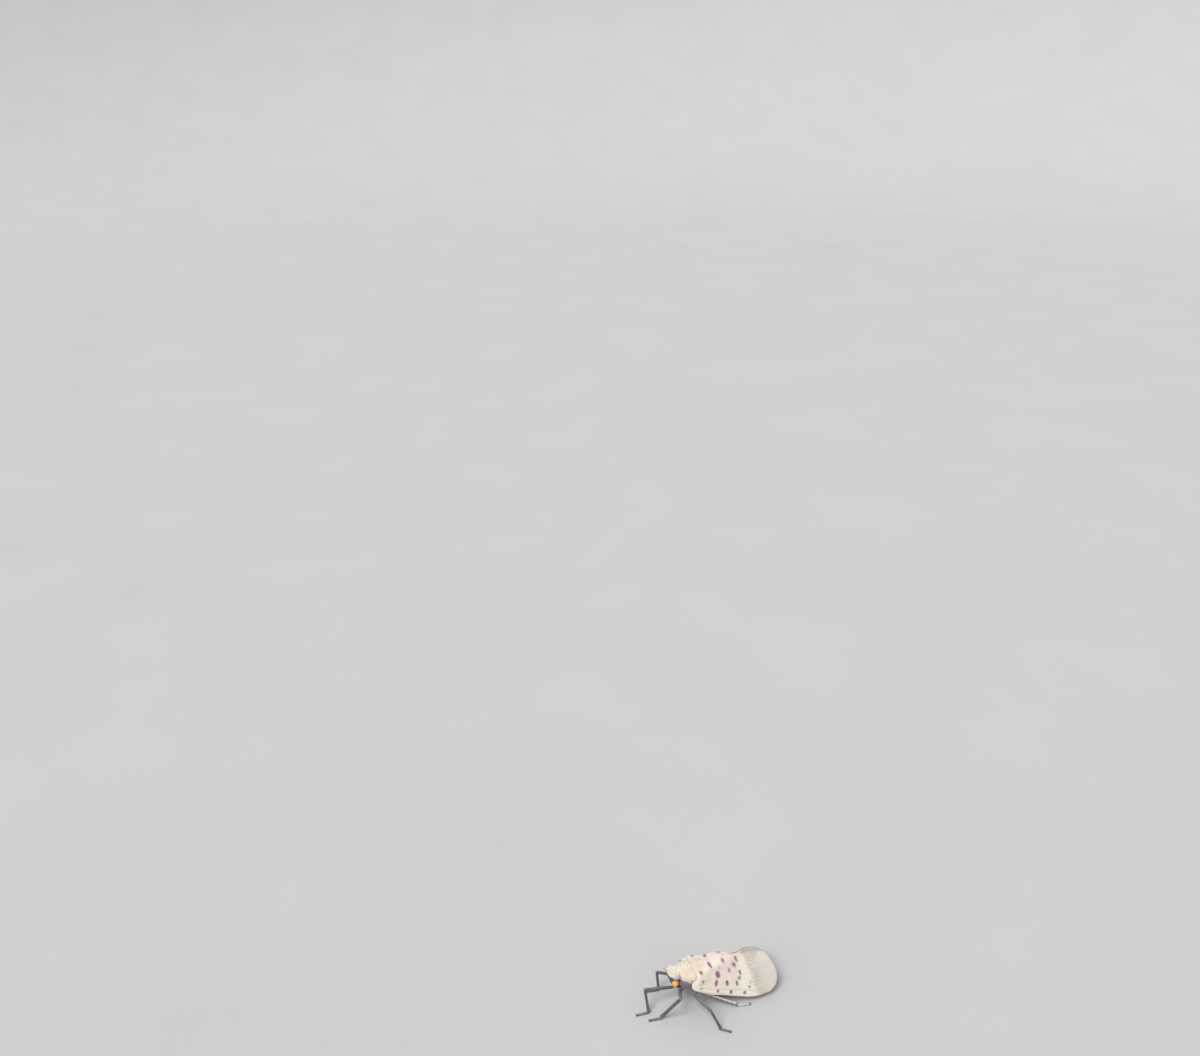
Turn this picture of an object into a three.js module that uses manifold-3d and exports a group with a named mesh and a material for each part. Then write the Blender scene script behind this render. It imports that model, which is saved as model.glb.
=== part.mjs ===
// Adult spotted lanternfly, life size, resting on its six feet with its wings folded like a roof.
// Millimetres, +Z up. The head looks along -Y and the insect's left side is on +X.
// The origin is on the floor, under the middle of the whole model.
import * as THREE from "three";
import { mergeVertices } from "three/addons/utils/BufferGeometryUtils.js";
import Module from "manifold-3d";

const wasm = await Module();
wasm.setup();
const { degToRad, lerp, clamp, smoothstep } = THREE.MathUtils;

// Driving dimensions. A station is a distance back from the front of the head along the body,
// and heights on the body are from its axis through the thorax.
const TOTAL_LENGTH = 24; // front of the head to the wing tips
const GAP = 0.3; // air kept between neighbouring pieces
const HEAD_UP = degToRad(9); // the body slopes up to the head
const WING_CLEARANCE = 1.3; // lowest wing edge above the floor
const WELD = 1e-4; // points closer than this are one

// Folded wings. Their flat outlines are in stations and distances across the wing from its ridge.
const MEMBRANE = 0.5;
const RIM = 0.32; // thickness at the very edge
const RIDGE_HEIGHT = 2.75; // where the two wings meet
const RIDGE_RISE = 0.18; // for each millimetre back, along the flat strip
const RIDGE_SIDE = { front: 0.21, rear: 0.31 }; // half of the space between the two wings' ridges
const CLAVUS_SLOPE = degToRad(20); // flat strip along the back
const SIDE_SLOPE = degToRad(50); // top of the steep side
const HEM_SLOPE = degToRad(66); // foot of the steep side
const REAR_FLARE = degToRad(9); // the sides spread outwards towards the tips
const KEEL_SLOPE = degToRad(74); // behind the flat strip, where the wings stand back to back
const CREST_SLOPE = degToRad(90); // above the ridge
const FOLD_WIDTH = 1.1; // rounding of the fold beside the flat strip
const HINGE_INNER = [5.0, 1.7];
const HINGE_FOLD = [4.9, 2.45];
const HINGE_OUTER = [4.7, 3.3];
const CLAVUS_APEX = [14.9, 0];
const CLAVUS_PART = 0.6; // share of the wing's columns beside the flat strip

// Main veins, at shares of the way across the wing: 0 at the fold, 1 at the front edge and
// -1 at the ridge. The forks start part of the way along.
const VEINS = [-0.5, 0.2, 0.42, 0.62, 0.82];
const FORKS = [0.1, 0.31, 0.52, 0.72];
const FORK_START = 0.5;
const VEIN = { height: 0.12, halfWidth: 0.024 };

const BACK_KEEL = { height: 0.12, halfWidth: 0.17 }; // along the back of the thorax

// Ellipsoids given as middle and half sizes, and the hair that the antenna ends in
const EYE = { place: [1.55, 0.9, 1.12], size: [0.58, 0.74, 0.6] };
const PEDICEL = { place: [1.8, 0.74, -0.32], size: [0.62, 0.7, 0.75] };
const BRISTLE = [0.75, -1.2, 0.15]; // from the middle of the pedicel to the tip
const TEGULA = { place: [2.42, 4.55, 1.6], size: [0.95, 0.85, 0.5], roll: degToRad(45) };

// Legs: the hip is on the body as [side, station, height], the joints are above the floor as
// [side, back, height] from the middle of the body
const ANKLE_HEIGHT = 0.7;
const LEGS = {
  front_left: {
    hip: [1.45, 3.3, -1.2],
    coxa: [1.3, -9.8, 3.7],
    knee: [5.05, -11.2, 6.2],
    ankle: [3.6, -14.8],
    toe: [3.3, -17.2],
  },
  front_right: {
    hip: [-1.45, 3.3, -1.2],
    coxa: [-0.8, -10.4, 3.1],
    knee: [-0.2, -17.2, 5.4],
    ankle: [1.3, -16.9],
    toe: [1.2, -19.3],
  },
  middle_left: {
    hip: [2.0, 6.1, -1.9],
    coxa: [3.3, -7.3, 4.0],
    knee: [8.9, -6.1, 5.2],
    ankle: [9.9, -4.2],
    toe: [11.2, -2.5],
  },
  middle_right: {
    hip: [-2.0, 6.1, -1.9],
    coxa: [-2.5, -7.4, 3.5],
    knee: [-3.8, -13.1, 5.3],
    ankle: [-3.5, -12.7],
    toe: [-3.8, -15.0],
  },
  hind_left: {
    hip: [1.3, 8.6, -1.9],
    coxa: [1.5, -1.0, 4.1],
    knee: [3.3, -5.2, 3.9],
    ankle: [5.7, 1.7],
    toe: [6.2, 4.4],
  },
  hind_right: {
    hip: [-1.3, 8.6, -1.9],
    coxa: [-1.5, -1.0, 4.1],
    knee: [-3.3, -5.3, 3.9],
    ankle: [-5.6, 1.4],
    toe: [-6.3, 4.0],
  },
};
const SPINE = { length: 0.55, radius: 0.15, tip: 0.03 };
const SPINE_SHARES = [0.2, 0.36, 0.52, 0.67, 0.82]; // down the outer edge of a hind tibia
const CROWN_ANGLES = [-80, -40, 0, 40, 80].map(degToRad); // round the end of a hind tibia

const backOf = (station) => station - TOTAL_LENGTH / 2;
const point = ([x, y, z]) => new THREE.Vector3(x, y, z);
const onBody = ([side, station, height]) => [side, backOf(station), height];

// Solids

function toManifold(geometry) {
  const bare = geometry.clone();
  bare.deleteAttribute("normal");
  bare.deleteAttribute("uv");
  const merged = mergeVertices(bare, WELD);
  const corners = merged.index.array;
  const triangles = [];
  for (let i = 0; i < corners.length; i += 3) {
    const [a, b, c] = corners.slice(i, i + 3);
    if (a !== b && b !== c && c !== a) triangles.push(a, b, c);
  }
  const vertProperties = Float32Array.from(merged.attributes.position.array);
  const make = (triVerts) =>
    new wasm.Manifold(new wasm.Mesh({ numProp: 3, vertProperties, triVerts: Uint32Array.from(triVerts) }));
  const solid = make(triangles);
  return solid.volume() > 0 ? solid : make(triangles.reverse());
}

const largest = (solid) => solid.decompose().reduce((a, b) => (a.volume() > b.volume() ? a : b));

function toGeometry(solid) {
  const { vertProperties, triVerts } = largest(solid).getMesh();
  const geometry = new THREE.BufferGeometry();
  geometry.setAttribute("position", new THREE.BufferAttribute(vertProperties, 3));
  geometry.setIndex(new THREE.BufferAttribute(triVerts, 1));
  geometry.computeVertexNormals();
  return geometry;
}

function warp(geometry, place) {
  const position = geometry.attributes.position;
  for (let i = 0; i < position.count; i++) {
    const { x, y, z } = place(position.getX(i), position.getY(i), position.getZ(i));
    position.setXYZ(i, x, y, z);
  }
  return geometry;
}

const join = (solids) => solids.reduce((a, b) => a.add(b));
const cutClear = (solid, neighbours) => neighbours.reduce((a, b) => a.subtract(b), solid);
const mirrored = (solid) => solid.mirror([1, 0, 0]);
const both = (solid) => join([solid, mirrored(solid)]);

// A closed sheet: the same triangles on both faces, joined by a rim round the edge
function sheet(columns, rows, place) {
  const grid = new THREE.PlaneGeometry(1, 1, columns, rows);
  const wide = columns + 1;
  const count = wide * (rows + 1);
  const points = [];
  for (const side of [1, -1]) {
    for (let n = 0; n < count; n++) points.push(place(n % wide, Math.floor(n / wide), side));
  }
  const top = Array.from(grid.index.array);
  const bottom = top.map((n) => n + count).reverse();
  const edge = [];
  for (let row = 0; row < rows; row++) edge.push(row * wide);
  for (let column = 0; column < columns; column++) edge.push(rows * wide + column);
  for (let row = rows; row > 0; row--) edge.push(row * wide + columns);
  for (let column = columns; column > 0; column--) edge.push(column);
  const rim = edge.flatMap((p, n) => {
    const q = edge[(n + 1) % edge.length];
    return [q, p, p + count, q, p + count, q + count];
  });
  const geometry = new THREE.BufferGeometry().setFromPoints(points);
  geometry.setIndex([...top, ...bottom, ...rim]);
  return toManifold(geometry);
}

const rounded = (value, power) => Math.sign(value) * Math.abs(value) ** power;

// A low ridge: full height at its middle and nothing beyond its half width
const ridge = (offset, halfWidth) => Math.max(0, 1 - Math.abs(offset) / halfWidth);

// Curves through each column of a table, read at a share of the way down its rows
function tracks(rows) {
  const curves = rows[0].map((_, column) => {
    return new THREE.SplineCurve(rows.map((row, n) => new THREE.Vector2(n, row[column])));
  });
  return (share) => curves.map((curve) => curve.getPoint(share).y);
}

// A length of the body through rows of [station, half width, top, bottom], grown by a margin,
// with low keels along the back at shares of the half width
function loft(rows, { sides = 24, steps = 12, square = 0.86, bow = 0, keels = [], margin = 0 } = {}) {
  const read = tracks(rows);
  const first = rows[0][0];
  const length = rows.at(-1)[0] - first;
  const stretch = (length + 2 * margin) / length;
  const raised = (x) => BACK_KEEL.height * Math.max(0, ...keels.map((keel) => ridge(x - keel, BACK_KEEL.halfWidth)));
  return toManifold(
    warp(new THREE.CylinderGeometry(1, 1, 1, sides, steps), (x, y, z) => {
      const [station, halfWidth, top, bottom] = read(y + 0.5);
      const [side, up] = [rounded(x, square), rounded(z, square)];
      return new THREE.Vector3(
        (halfWidth + margin) * side,
        backOf(first - margin + (station - first) * stretch) + bow * (side * side - 0.4),
        (top + bottom) / 2 + ((top - bottom) / 2 + margin) * up + (z > 0 ? raised(x) : 0),
      );
    }),
  );
}

// A round limb between two points, with radii given as [share of the length, radius].
// A tall one is deeper up and down than it is wide.
function limbShape(from, to, radii, { sides = 8, margin = 0, tall = 1 } = {}) {
  const length = from.distanceTo(to);
  const profile = radii.map(([share, radius]) => new THREE.Vector2(radius + margin, share * length));
  const start = new THREE.Vector2(0, -margin);
  const end = new THREE.Vector2(0, length + margin);
  const along = to.clone().sub(from).normalize();
  const across = new THREE.Vector3(0, 0, 1).cross(along).normalize();
  const basis = new THREE.Matrix4().makeBasis(across, along, across.clone().cross(along).negate());
  const shape = new THREE.LatheGeometry([start, ...profile, end], sides).scale(1, 1, tall);
  return shape.applyMatrix4(basis.setPosition(from));
}

const limb = (...shape) => toManifold(limbShape(...shape));

const ellipsoid = ([x, y, z], [w, l, h], { margin = 0, around = 16, down = 10, roll = 0 } = {}) =>
  toManifold(
    new THREE.SphereGeometry(1, around, down)
      .scale(w + margin, h + margin, l + margin)
      .rotateX(Math.PI / 2)
      .rotateY(roll)
      .translate(x, y, z),
  );

// Folded wings

const outline = (points) => new THREE.SplineCurve(points.map(([a, b]) => new THREE.Vector2(a, b)));
const line = ([a, b], [c, d], share) => new THREE.Vector2(lerp(a, c, share), lerp(b, d, share));

const FORE = {
  scutellar: outline([HINGE_INNER, [6.4, 1.0], [8.0, 0.12], [10, 0], [12, 0], CLAVUS_APEX]),
  crest: outline([CLAVUS_APEX, [15.9, -0.6], [17.4, -0.95], [19.2, -0.75], [20.5, -0.05]]),
  tip: outline([[20.5, -0.05], [22.3, 1.5], [23.65, 3.7], [24.1, 6], [23.5, 7.8], [22.1, 8.9]]),
  front: outline([HINGE_OUTER, [4.9, 5.0], [6.5, 6.2], [9.8, 7.3], [14.2, 8.4], [18.4, 9.2], [22.1, 8.9]]),
};
const HIND = {
  root: [[6.5, 2.6], [6.3, 3.6]],
  back: outline([[6.5, 2.6], [9, 1.6], [12.6, 1.5], [15.6, 2.2], [18.2, 3.2]]),
  tip: outline([[18.2, 3.2], [19.3, 4.3], [19.2, 5.6], [18, 6.6]]),
  front: outline([[6.3, 3.6], [8.2, 5.0], [12, 6.2], [15.4, 6.8], [18, 6.6]]),
};

// Distance across the wing of the fold beside the flat strip
function claval(station) {
  const share = (CLAVUS_APEX[0] - station) / (CLAVUS_APEX[0] - HINGE_FOLD[0]);
  return HINGE_FOLD[1] * Math.max(0, share);
}

function roofSlope(station, across) {
  if (across < 0) return CREST_SLOPE;
  const strip = claval(station);
  const steep = lerp(SIDE_SLOPE, HEM_SLOPE, clamp((across - strip) / 8, 0, 1));
  const side = steep - REAR_FLARE * smoothstep(station, 11, 18);
  const folded = smoothstep(across, strip - FOLD_WIDTH / 2, strip + FOLD_WIDTH / 2);
  const keel = smoothstep(station, 12.8, 16) * (1 - smoothstep(across, 0.2, 1.8));
  return lerp(lerp(CLAVUS_SLOPE, side, folded), KEEL_SLOPE, keel);
}

// Middle of the folded wing's thickness, followed down its slope from the ridge
function roof(station, across) {
  const steps = 24;
  const step = across / steps;
  const side = lerp(RIDGE_SIDE.front, RIDGE_SIDE.rear, smoothstep(station, 12.5, 15.5));
  const rise = RIDGE_RISE * (Math.min(station, 14.5) - 8) + (RIDGE_RISE / 3) * Math.max(0, station - 14.5);
  const place = new THREE.Vector3(side, backOf(station), RIDGE_HEIGHT + rise);
  for (let n = 0; n < steps; n++) {
    const slope = roofSlope(station, step * (n + 0.5));
    place.x += Math.cos(slope) * step;
    place.z -= Math.sin(slope) * step;
  }
  return place;
}

function lifted({ x: station, y: across }, lift) {
  const reach = 0.02;
  const back = roof(station + reach, across).sub(roof(station - reach, across));
  const down = roof(station, across + reach).sub(roof(station, across - reach));
  return roof(station, across).addScaledVector(down.cross(back).normalize(), lift);
}

// A point of a four-sided patch between its back, front, root and tip edges
function patch(back, front, root, tip, u, v) {
  const mix = back(u).multiplyScalar(1 - v).addScaledVector(front(u), v);
  mix.addScaledVector(root(v), 1 - u).addScaledVector(tip(v), u);
  mix.addScaledVector(root(0), -(1 - u) * (1 - v)).addScaledVector(root(1), -(1 - u) * v);
  return mix.addScaledVector(tip(0), -u * (1 - v)).addScaledVector(tip(1), -u * v);
}

// Outside the fold v runs from 0 to 1, and on the flat strip from -1 at the ridge to 0
function foreFlat(u, v) {
  const fold = (share) => {
    if (share < CLAVUS_PART) return line(HINGE_FOLD, CLAVUS_APEX, share / CLAVUS_PART);
    return FORE.crest.getPointAt((share - CLAVUS_PART) / (1 - CLAVUS_PART));
  };
  if (v >= 0) {
    const root = (share) => line(HINGE_FOLD, HINGE_OUTER, share);
    const front = (share) => FORE.front.getPointAt(share);
    return patch(fold, front, root, (share) => FORE.tip.getPointAt(share), u, v);
  }
  if (u >= CLAVUS_PART) return fold(u);
  return FORE.scutellar.getPointAt(u / CLAVUS_PART).lerp(fold(u), 1 + v);
}

// Moves the edge of a flat outline outwards by a margin
function spread(flat, column, columns, row, rows, margin) {
  const out = (n, last) => (n === last) - (n === 0);
  return flat.add(new THREE.Vector2(out(column, columns), out(row, rows)).multiplyScalar(margin));
}

// Lines along the wing as [share across, where the vein on it starts], with a plain line on each
// side of every vein for the foot of its ridge
const plain = (v) => [v, Infinity];
const veined = (start) => (v) => [plain(v - VEIN.halfWidth), [v, start], plain(v + VEIN.halfWidth)];
const PLAIN_LINES = [-1, -0.5, 0, 0.1, 0.2, 0.3, 0.4, 0.5, 0.6, 0.7, 0.8, 0.9, 1].map(plain);
const VEIN_LINES = [
  ...[-1, 0, 0.92, 1].map(plain),
  ...VEINS.flatMap(veined(0)),
  ...FORKS.flatMap(veined(FORK_START)),
].sort(([a], [b]) => a - b);

// The ridge of a vein is no higher than it is wide, so it fades out where the veins meet at the root
function forewing({ columns, lines, margin = 0 }) {
  const rows = lines.length - 1;
  return sheet(columns, rows, (column, row, side) => {
    const [v, start] = lines[row];
    const u = column / columns;
    const flat = spread(foreFlat(u, v), column, columns, row, rows, margin);
    const edge = column === 0 || column === columns || row === 0 || row === rows;
    const width = foreFlat(u, Math.sign(v)).distanceTo(foreFlat(u, 0));
    const vein = side > 0 && !edge && u > start ? Math.min(VEIN.height, VEIN.halfWidth * width) : 0;
    return lifted(flat, side * ((edge ? RIM : MEMBRANE) / 2 + margin) + vein);
  });
}

const veinedWing = () => forewing({ columns: 20, lines: VEIN_LINES });
const forewingRoom = () => forewing({ columns: 15, lines: PLAIN_LINES, margin: GAP });

function hindwing(margin = 0) {
  const [columns, rows] = [10, 5];
  const root = (share) => line(...HIND.root, share);
  const [back, front, tip] = [HIND.back, HIND.front, HIND.tip].map((curve) => (share) => curve.getPointAt(share));
  return sheet(columns, rows, (column, row, side) => {
    const flat = patch(back, front, root, tip, column / columns, row / rows);
    spread(flat, column, columns, row, rows, margin);
    return lifted(flat, side * (MEMBRANE / 2 + margin) - MEMBRANE - GAP);
  });
}

// Body

const pronotum = (margin = 0) =>
  loft(
    [
      [2.3, 1.75, 1.75, -1.2],
      [2.6, 2.3, 2.1, -1.8],
      [3.2, 2.65, 2.4, -2.1],
      [3.8, 2.75, 2.55, -2.1],
    ],
    { sides: 36, steps: 6, bow: 0.5, keels: [0], margin },
  );

const thorax = (margin = 0) =>
  loft(
    [
      [4.15, 2.6, 2.5, -2.3],
      [4.9, 2.85, 2.8, -2.6],
      [6.2, 2.95, 2.85, -2.8],
      [7.8, 2.7, 2.7, -2.8],
      [9.5, 2.2, 1.9, -2.6],
    ],
    { sides: 36, bow: 0.5, keels: [-0.5, 0, 0.5], margin },
  );

function abdomen(margin = 0) {
  const rings = 7;
  const rows = [];
  for (let ring = 0; ring < rings; ring++) {
    for (const [share, flare] of [[0.05, 0.93], [0.95, 1]]) {
      const along = (ring + share) / rings;
      const swell = flare * Math.sqrt(1 - 0.93 * along ** 2.6);
      const middle = lerp(-0.75, -1.5, along);
      rows.push([lerp(10.0, 17.6, along), 2.1 * swell, middle + 1.8 * swell, middle - 1.8 * swell]);
    }
  }
  return loft(rows, { steps: rows.length - 1, square: 0.95, sides: 20, margin });
}

// Levels down the face as [height, front station, back station, half width, rise to the back].
// The crown is dished between its rims. Sharp edges run down both sides of the face, with two
// faint keels between them and one down the lip.
const FACE = [
  [1.62, -0.25, 1.95, 1.25, 0.24],
  [1.45, -0.42, 2.1, 1.42, 0.2],
  [1.0, -0.48, 2.2, 1.5, 0.1],
  [0.2, -0.3, 2.2, 1.5, 0],
  [-0.7, 0.12, 2.2, 1.45, 0],
  [-1.5, 0.62, 2.25, 1.3, 0],
  [-2.1, 1.15, 2.4, 0.95, 0],
  [-2.8, 1.8, 2.7, 0.6, 0],
  [-3.35, 2.3, 2.9, 0.36, 0],
];
const CROWN_DISH = 0.22;
const LIP_TOP = -1.6; // the lip is below this height
const FACE_EDGE = { angle: degToRad(40), height: 0.12 };
const FACE_KEEL = { angle: degToRad(10), height: 0.05 };
const FACE_RIDGE = degToRad(8); // half width of each, round the head

function head(margin = 0) {
  const read = tracks(FACE);
  return toManifold(
    warp(new THREE.CylinderGeometry(1, 1, 1, 36, 16), (x, y, z) => {
      const [height, front, back, halfWidth, rise] = read(0.5 - y);
      const angle = Math.abs(Math.atan2(x, z));
      const face = height > LIP_TOP;
      const edge = face ? FACE_EDGE.height * ridge(angle - FACE_EDGE.angle, FACE_RIDGE) : 0;
      const keel = FACE_KEEL.height * ridge(angle - (face ? FACE_KEEL.angle : 0), FACE_RIDGE);
      const grown = 1 + edge + keel;
      const end = Math.abs(y) === 0.5 ? Math.sign(y) * margin : 0;
      const dish = x === 0 && z === 0 && y > 0 ? CROWN_DISH : 0;
      return new THREE.Vector3(
        (halfWidth * grown + margin) * rounded(x, 0.75),
        backOf((front + back) / 2) - (((back - front) / 2) * grown + margin) * rounded(z, 0.75),
        height - rise * z + end - dish,
      );
    }),
  );
}

const eye = (margin = 0) => ellipsoid(onBody(EYE.place), EYE.size, { margin });

function antenna() {
  const middle = onBody(PEDICEL.place);
  const tip = point(middle).add(point(BRISTLE));
  const pedicel = ellipsoid(middle, PEDICEL.size, { around: 14, down: 10 });
  return join([pedicel, limb(point(middle), tip, [[0, 0.26], [0.6, 0.2], [1, 0.06]], { sides: 6 })]);
}

const rostrum = () =>
  limb(
    new THREE.Vector3(0, backOf(2.8), -3.4 - GAP),
    new THREE.Vector3(0, backOf(9.6), -3.35),
    [[0, 0.28], [0.35, 0.28], [0.6, 0.31], [0.95, 0.26], [1, 0.12]],
  );

// A flat shell over the wing's root, turned to lie against the side of the thorax
const tegula = () => ellipsoid(onBody(TEGULA.place), TEGULA.size, { roll: TEGULA.roll });

// Legs

const COXA = [[0, 0.5], [0.5, 0.48], [0.85, 0.4], [1, 0.3]];
const FEMUR = [[0, 0.28], [0.06, 0.34], [0.3, 0.4], [0.7, 0.35], [0.92, 0.36], [1, 0.26]];
const TIBIA = [[0, 0.26], [0.06, 0.3], [0.5, 0.28], [0.9, 0.3], [1, 0.26]];
const TARSUS = [[0, 0.24], [0.3, 0.28], [0.37, 0.22], [0.44, 0.27], [0.62, 0.27], [0.69, 0.2], [0.76, 0.25], [1, 0.2]];
const FRONT_TIBIA_TALL = 1.45; // the front tibiae are flattened
const SOLE = 0.2; // middle of a foot above the floor
const CLAW = { length: 0.45, spread: 0.3, radius: 0.14 };

// Spines of a hind tibia: a row down its outer edge and a crown round its end
function spines(from, to, margin) {
  const along = to.clone().sub(from).normalize();
  const outer = new THREE.Vector3(Math.sign(to.x), 0, 0).projectOnPlane(along).normalize();
  const spine = (share, outward, lean) => {
    const root = from.clone().lerp(to, share);
    const direction = outward.clone().addScaledVector(along, lean).normalize();
    const tip = root.clone().addScaledVector(direction, TIBIA[1][1] + SPINE.length + margin);
    return limb(root, tip, [[0, SPINE.radius + margin], [1, SPINE.tip + margin]], { sides: 5 });
  };
  const row = SPINE_SHARES.map((share) => spine(share, outer, 0.5));
  const crown = CROWN_ANGLES.map((angle) => spine(0.93, outer.clone().applyAxisAngle(along, angle), 1.1));
  return [...row, ...crown];
}

function tibia(from, to, kind, margin = 0) {
  const shaft = limb(from, to, TIBIA, { margin, tall: kind === "front" ? FRONT_TIBIA_TALL : 1 });
  return kind === "hind" ? join([shaft, ...spines(from, to, margin)]) : shaft;
}

function tarsus(ankle, toe) {
  const heel = new THREE.Vector3(ankle.x, ankle.y, SOLE);
  const end = new THREE.Vector3(...toe, SOLE);
  const foot = warp(limbShape(heel, end, TARSUS), (x, y, z) => new THREE.Vector3(x, y, Math.max(z, 0)));
  const along = end.clone().sub(heel).normalize();
  const claws = [-1, 1].map((side) => {
    const tip = end.clone().addScaledVector(along, CLAW.length).setZ(CLAW.radius);
    tip.add(new THREE.Vector3(-along.y, along.x, 0).multiplyScalar(side * CLAW.spread));
    const root = end.clone().addScaledVector(along, -CLAW.radius);
    return limb(root, tip, [[0, CLAW.radius], [0.6, CLAW.radius * 0.8], [1, 0.03]], { sides: 5 });
  });
  return join([toManifold(foot), ...claws]);
}

// Each piece is cut back from the one that it grows from
function leg(kind, { hip, coxa, knee, ankle, toe }, trunk) {
  const socket = body.localToWorld(point(onBody(hip)));
  const [trochanter, bend] = [coxa, knee].map(point);
  const foot = new THREE.Vector3(...ankle, ANKLE_HEIGHT);
  const coxaOf = (margin) => limb(socket, trochanter, COXA, { margin });
  const femurOf = (margin) => limb(trochanter, bend, FEMUR, { margin });
  return {
    coxa: cutClear(coxaOf(0), [trunk]),
    femur: cutClear(femurOf(0), [coxaOf(GAP), trunk]),
    tibia: cutClear(tibia(bend, foot, kind), [femurOf(GAP)]),
    tarsus: cutClear(tarsus(foot, toe), [tibia(bend, foot, kind, GAP)]),
  };
}

// Finishes

const finish = (color, roughness) => new THREE.MeshStandardMaterial({ color, roughness, metalness: 0 });
const FINISHES = {
  pale: finish("#d9cfc2", 0.6),
  dark: finish("#2e2d2f", 0.5),
  eye: finish("#4a3b36", 0.25),
  orange: finish("#ee8a2a", 0.45),
  forewing: finish("#e2d6c8", 0.55),
  hindwing: finish("#c2392c", 0.6),
  yellow: finish("#e0b63c", 0.5),
};

function named(name, solid, material) {
  const mesh = new THREE.Mesh(toGeometry(solid), FINISHES[material]);
  mesh.name = name;
  return mesh;
}

// Assembly

const lanternfly = new THREE.Group();
const body = new THREE.Group();
body.rotation.x = -HEAD_UP;
lanternfly.add(body);

const wingRoom = both(join([forewingRoom(), hindwing(GAP)]));
const eyeRoom = both(eye(GAP));
body.add(
  named("head", cutClear(head(), [eyeRoom, pronotum(GAP)]), "pale"),
  named("pronotum", cutClear(pronotum(), [eyeRoom]), "pale"),
  named("thorax", cutClear(thorax(), [wingRoom]), "pale"),
  named("abdomen", cutClear(abdomen(), [wingRoom, thorax(GAP)]), "yellow"),
  named("rostrum", rostrum(), "dark"),
);
const pairs = {
  eye: [eye(), "eye"],
  antenna: [cutClear(antenna(), [head(GAP), eye(GAP)]), "orange"],
  tegula: [cutClear(tegula(), [pronotum(GAP), thorax(GAP), forewingRoom()]), "pale"],
  forewing: [veinedWing(), "forewing"],
  hindwing: [hindwing(), "hindwing"],
};
for (const [part, [solid, material]] of Object.entries(pairs)) {
  body.add(named(part + "_left", solid, material), named(part + "_right", mirrored(solid), material));
}

body.updateMatrix();
body.position.z = WING_CLEARANCE - new THREE.Box3().setFromObject(body, true).min.z;
body.updateMatrixWorld();

const trunk = join([pronotum(GAP), thorax(GAP), abdomen(GAP)]).transform(body.matrixWorld.elements);
for (const [side, joints] of Object.entries(LEGS)) {
  for (const [part, solid] of Object.entries(leg(side.split("_")[0], joints, trunk))) {
    lanternfly.add(named(part + "_" + side, solid, "dark"));
  }
}

// The origin goes under the middle of the model
const middle = new THREE.Box3().setFromObject(lanternfly, true).getCenter(new THREE.Vector3());
lanternfly.position.set(-middle.x, -middle.y, 0);

export default lanternfly;
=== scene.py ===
# Looks of a life-size adult spotted lanternfly: skin, wings, eyes, antennae, claws and spines
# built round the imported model, on a plain pale floor in soft light.
# Lengths are in millimetres until a mesh is made. The insect's left side is on +X, its head on -Y.
import math

import bpy
import numpy as np
from mathutils import Matrix, Vector
from mathutils.bvhtree import BVHTree
from mathutils.kdtree import KDTree


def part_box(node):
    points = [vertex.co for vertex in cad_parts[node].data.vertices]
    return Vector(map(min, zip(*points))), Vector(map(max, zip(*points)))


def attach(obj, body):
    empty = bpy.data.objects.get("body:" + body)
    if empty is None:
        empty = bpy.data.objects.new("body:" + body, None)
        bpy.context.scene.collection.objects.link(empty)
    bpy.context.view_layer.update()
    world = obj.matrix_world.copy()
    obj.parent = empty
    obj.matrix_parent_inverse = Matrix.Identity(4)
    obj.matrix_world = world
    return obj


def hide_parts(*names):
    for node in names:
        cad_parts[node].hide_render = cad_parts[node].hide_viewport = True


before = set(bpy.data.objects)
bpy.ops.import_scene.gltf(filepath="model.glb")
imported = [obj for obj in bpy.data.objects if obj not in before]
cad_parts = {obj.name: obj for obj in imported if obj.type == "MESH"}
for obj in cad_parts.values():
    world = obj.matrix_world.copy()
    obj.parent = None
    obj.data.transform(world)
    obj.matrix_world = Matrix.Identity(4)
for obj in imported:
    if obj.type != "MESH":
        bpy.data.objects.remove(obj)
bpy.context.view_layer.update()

MM = 0.001
SEED = 7
rng = np.random.default_rng(SEED)

# Body: stations are distances back from the front of the head, heights are from the body's axis
TOTAL_LENGTH = 24.0
HEAD_UP = math.radians(9)
EYE = {"place": (1.55, 0.9, 1.12), "size": (0.58, 0.74, 0.6)}
PEDICEL = {"place": (1.8, 0.74, -0.32), "size": (0.62, 0.7, 0.75)}
BRISTLE = (0.75, -1.2, 0.15)
TEGULA = {"place": (2.42, 4.55, 1.6), "size": (0.95, 0.85, 0.5), "roll": math.radians(45)}

# Wings
MEMBRANE = 0.5
GAP = 0.3
RIDGE_HEIGHT = 2.75
RIDGE_RISE = 0.18
RIDGE_SIDE = (0.21, 0.31)
CLAVUS_SLOPE = math.radians(20)
SIDE_SLOPE = math.radians(50)
HEM_SLOPE = math.radians(66)
REAR_FLARE = math.radians(9)
KEEL_SLOPE = math.radians(74)
FOLD_WIDTH = 1.1
CREST_SLOPE = math.radians(90)
SEAM = ((12.5, 15, 18, 20.3), (0.02, 0.15, 0.12, 0.03))  # outer faces from the middle, at stations
SEAM_REACH = 1.6
ROOT_FRONT = (3.8, 3.6)  # front corner of the wing, under the shell over its root
ROOT_RISE = 0.52  # the wing's root lies on the side of the mesothorax
RIDGE_LIFT = 0.4
CLAVUS_REAR_SLOPE = math.radians(8)
HINGE_INNER = (5.0, 1.7)
HINGE_FOLD = (4.9, 2.45)
CLAVUS_APEX = (14.9, 0.0)
CLAVUS_PART = 0.6

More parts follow.
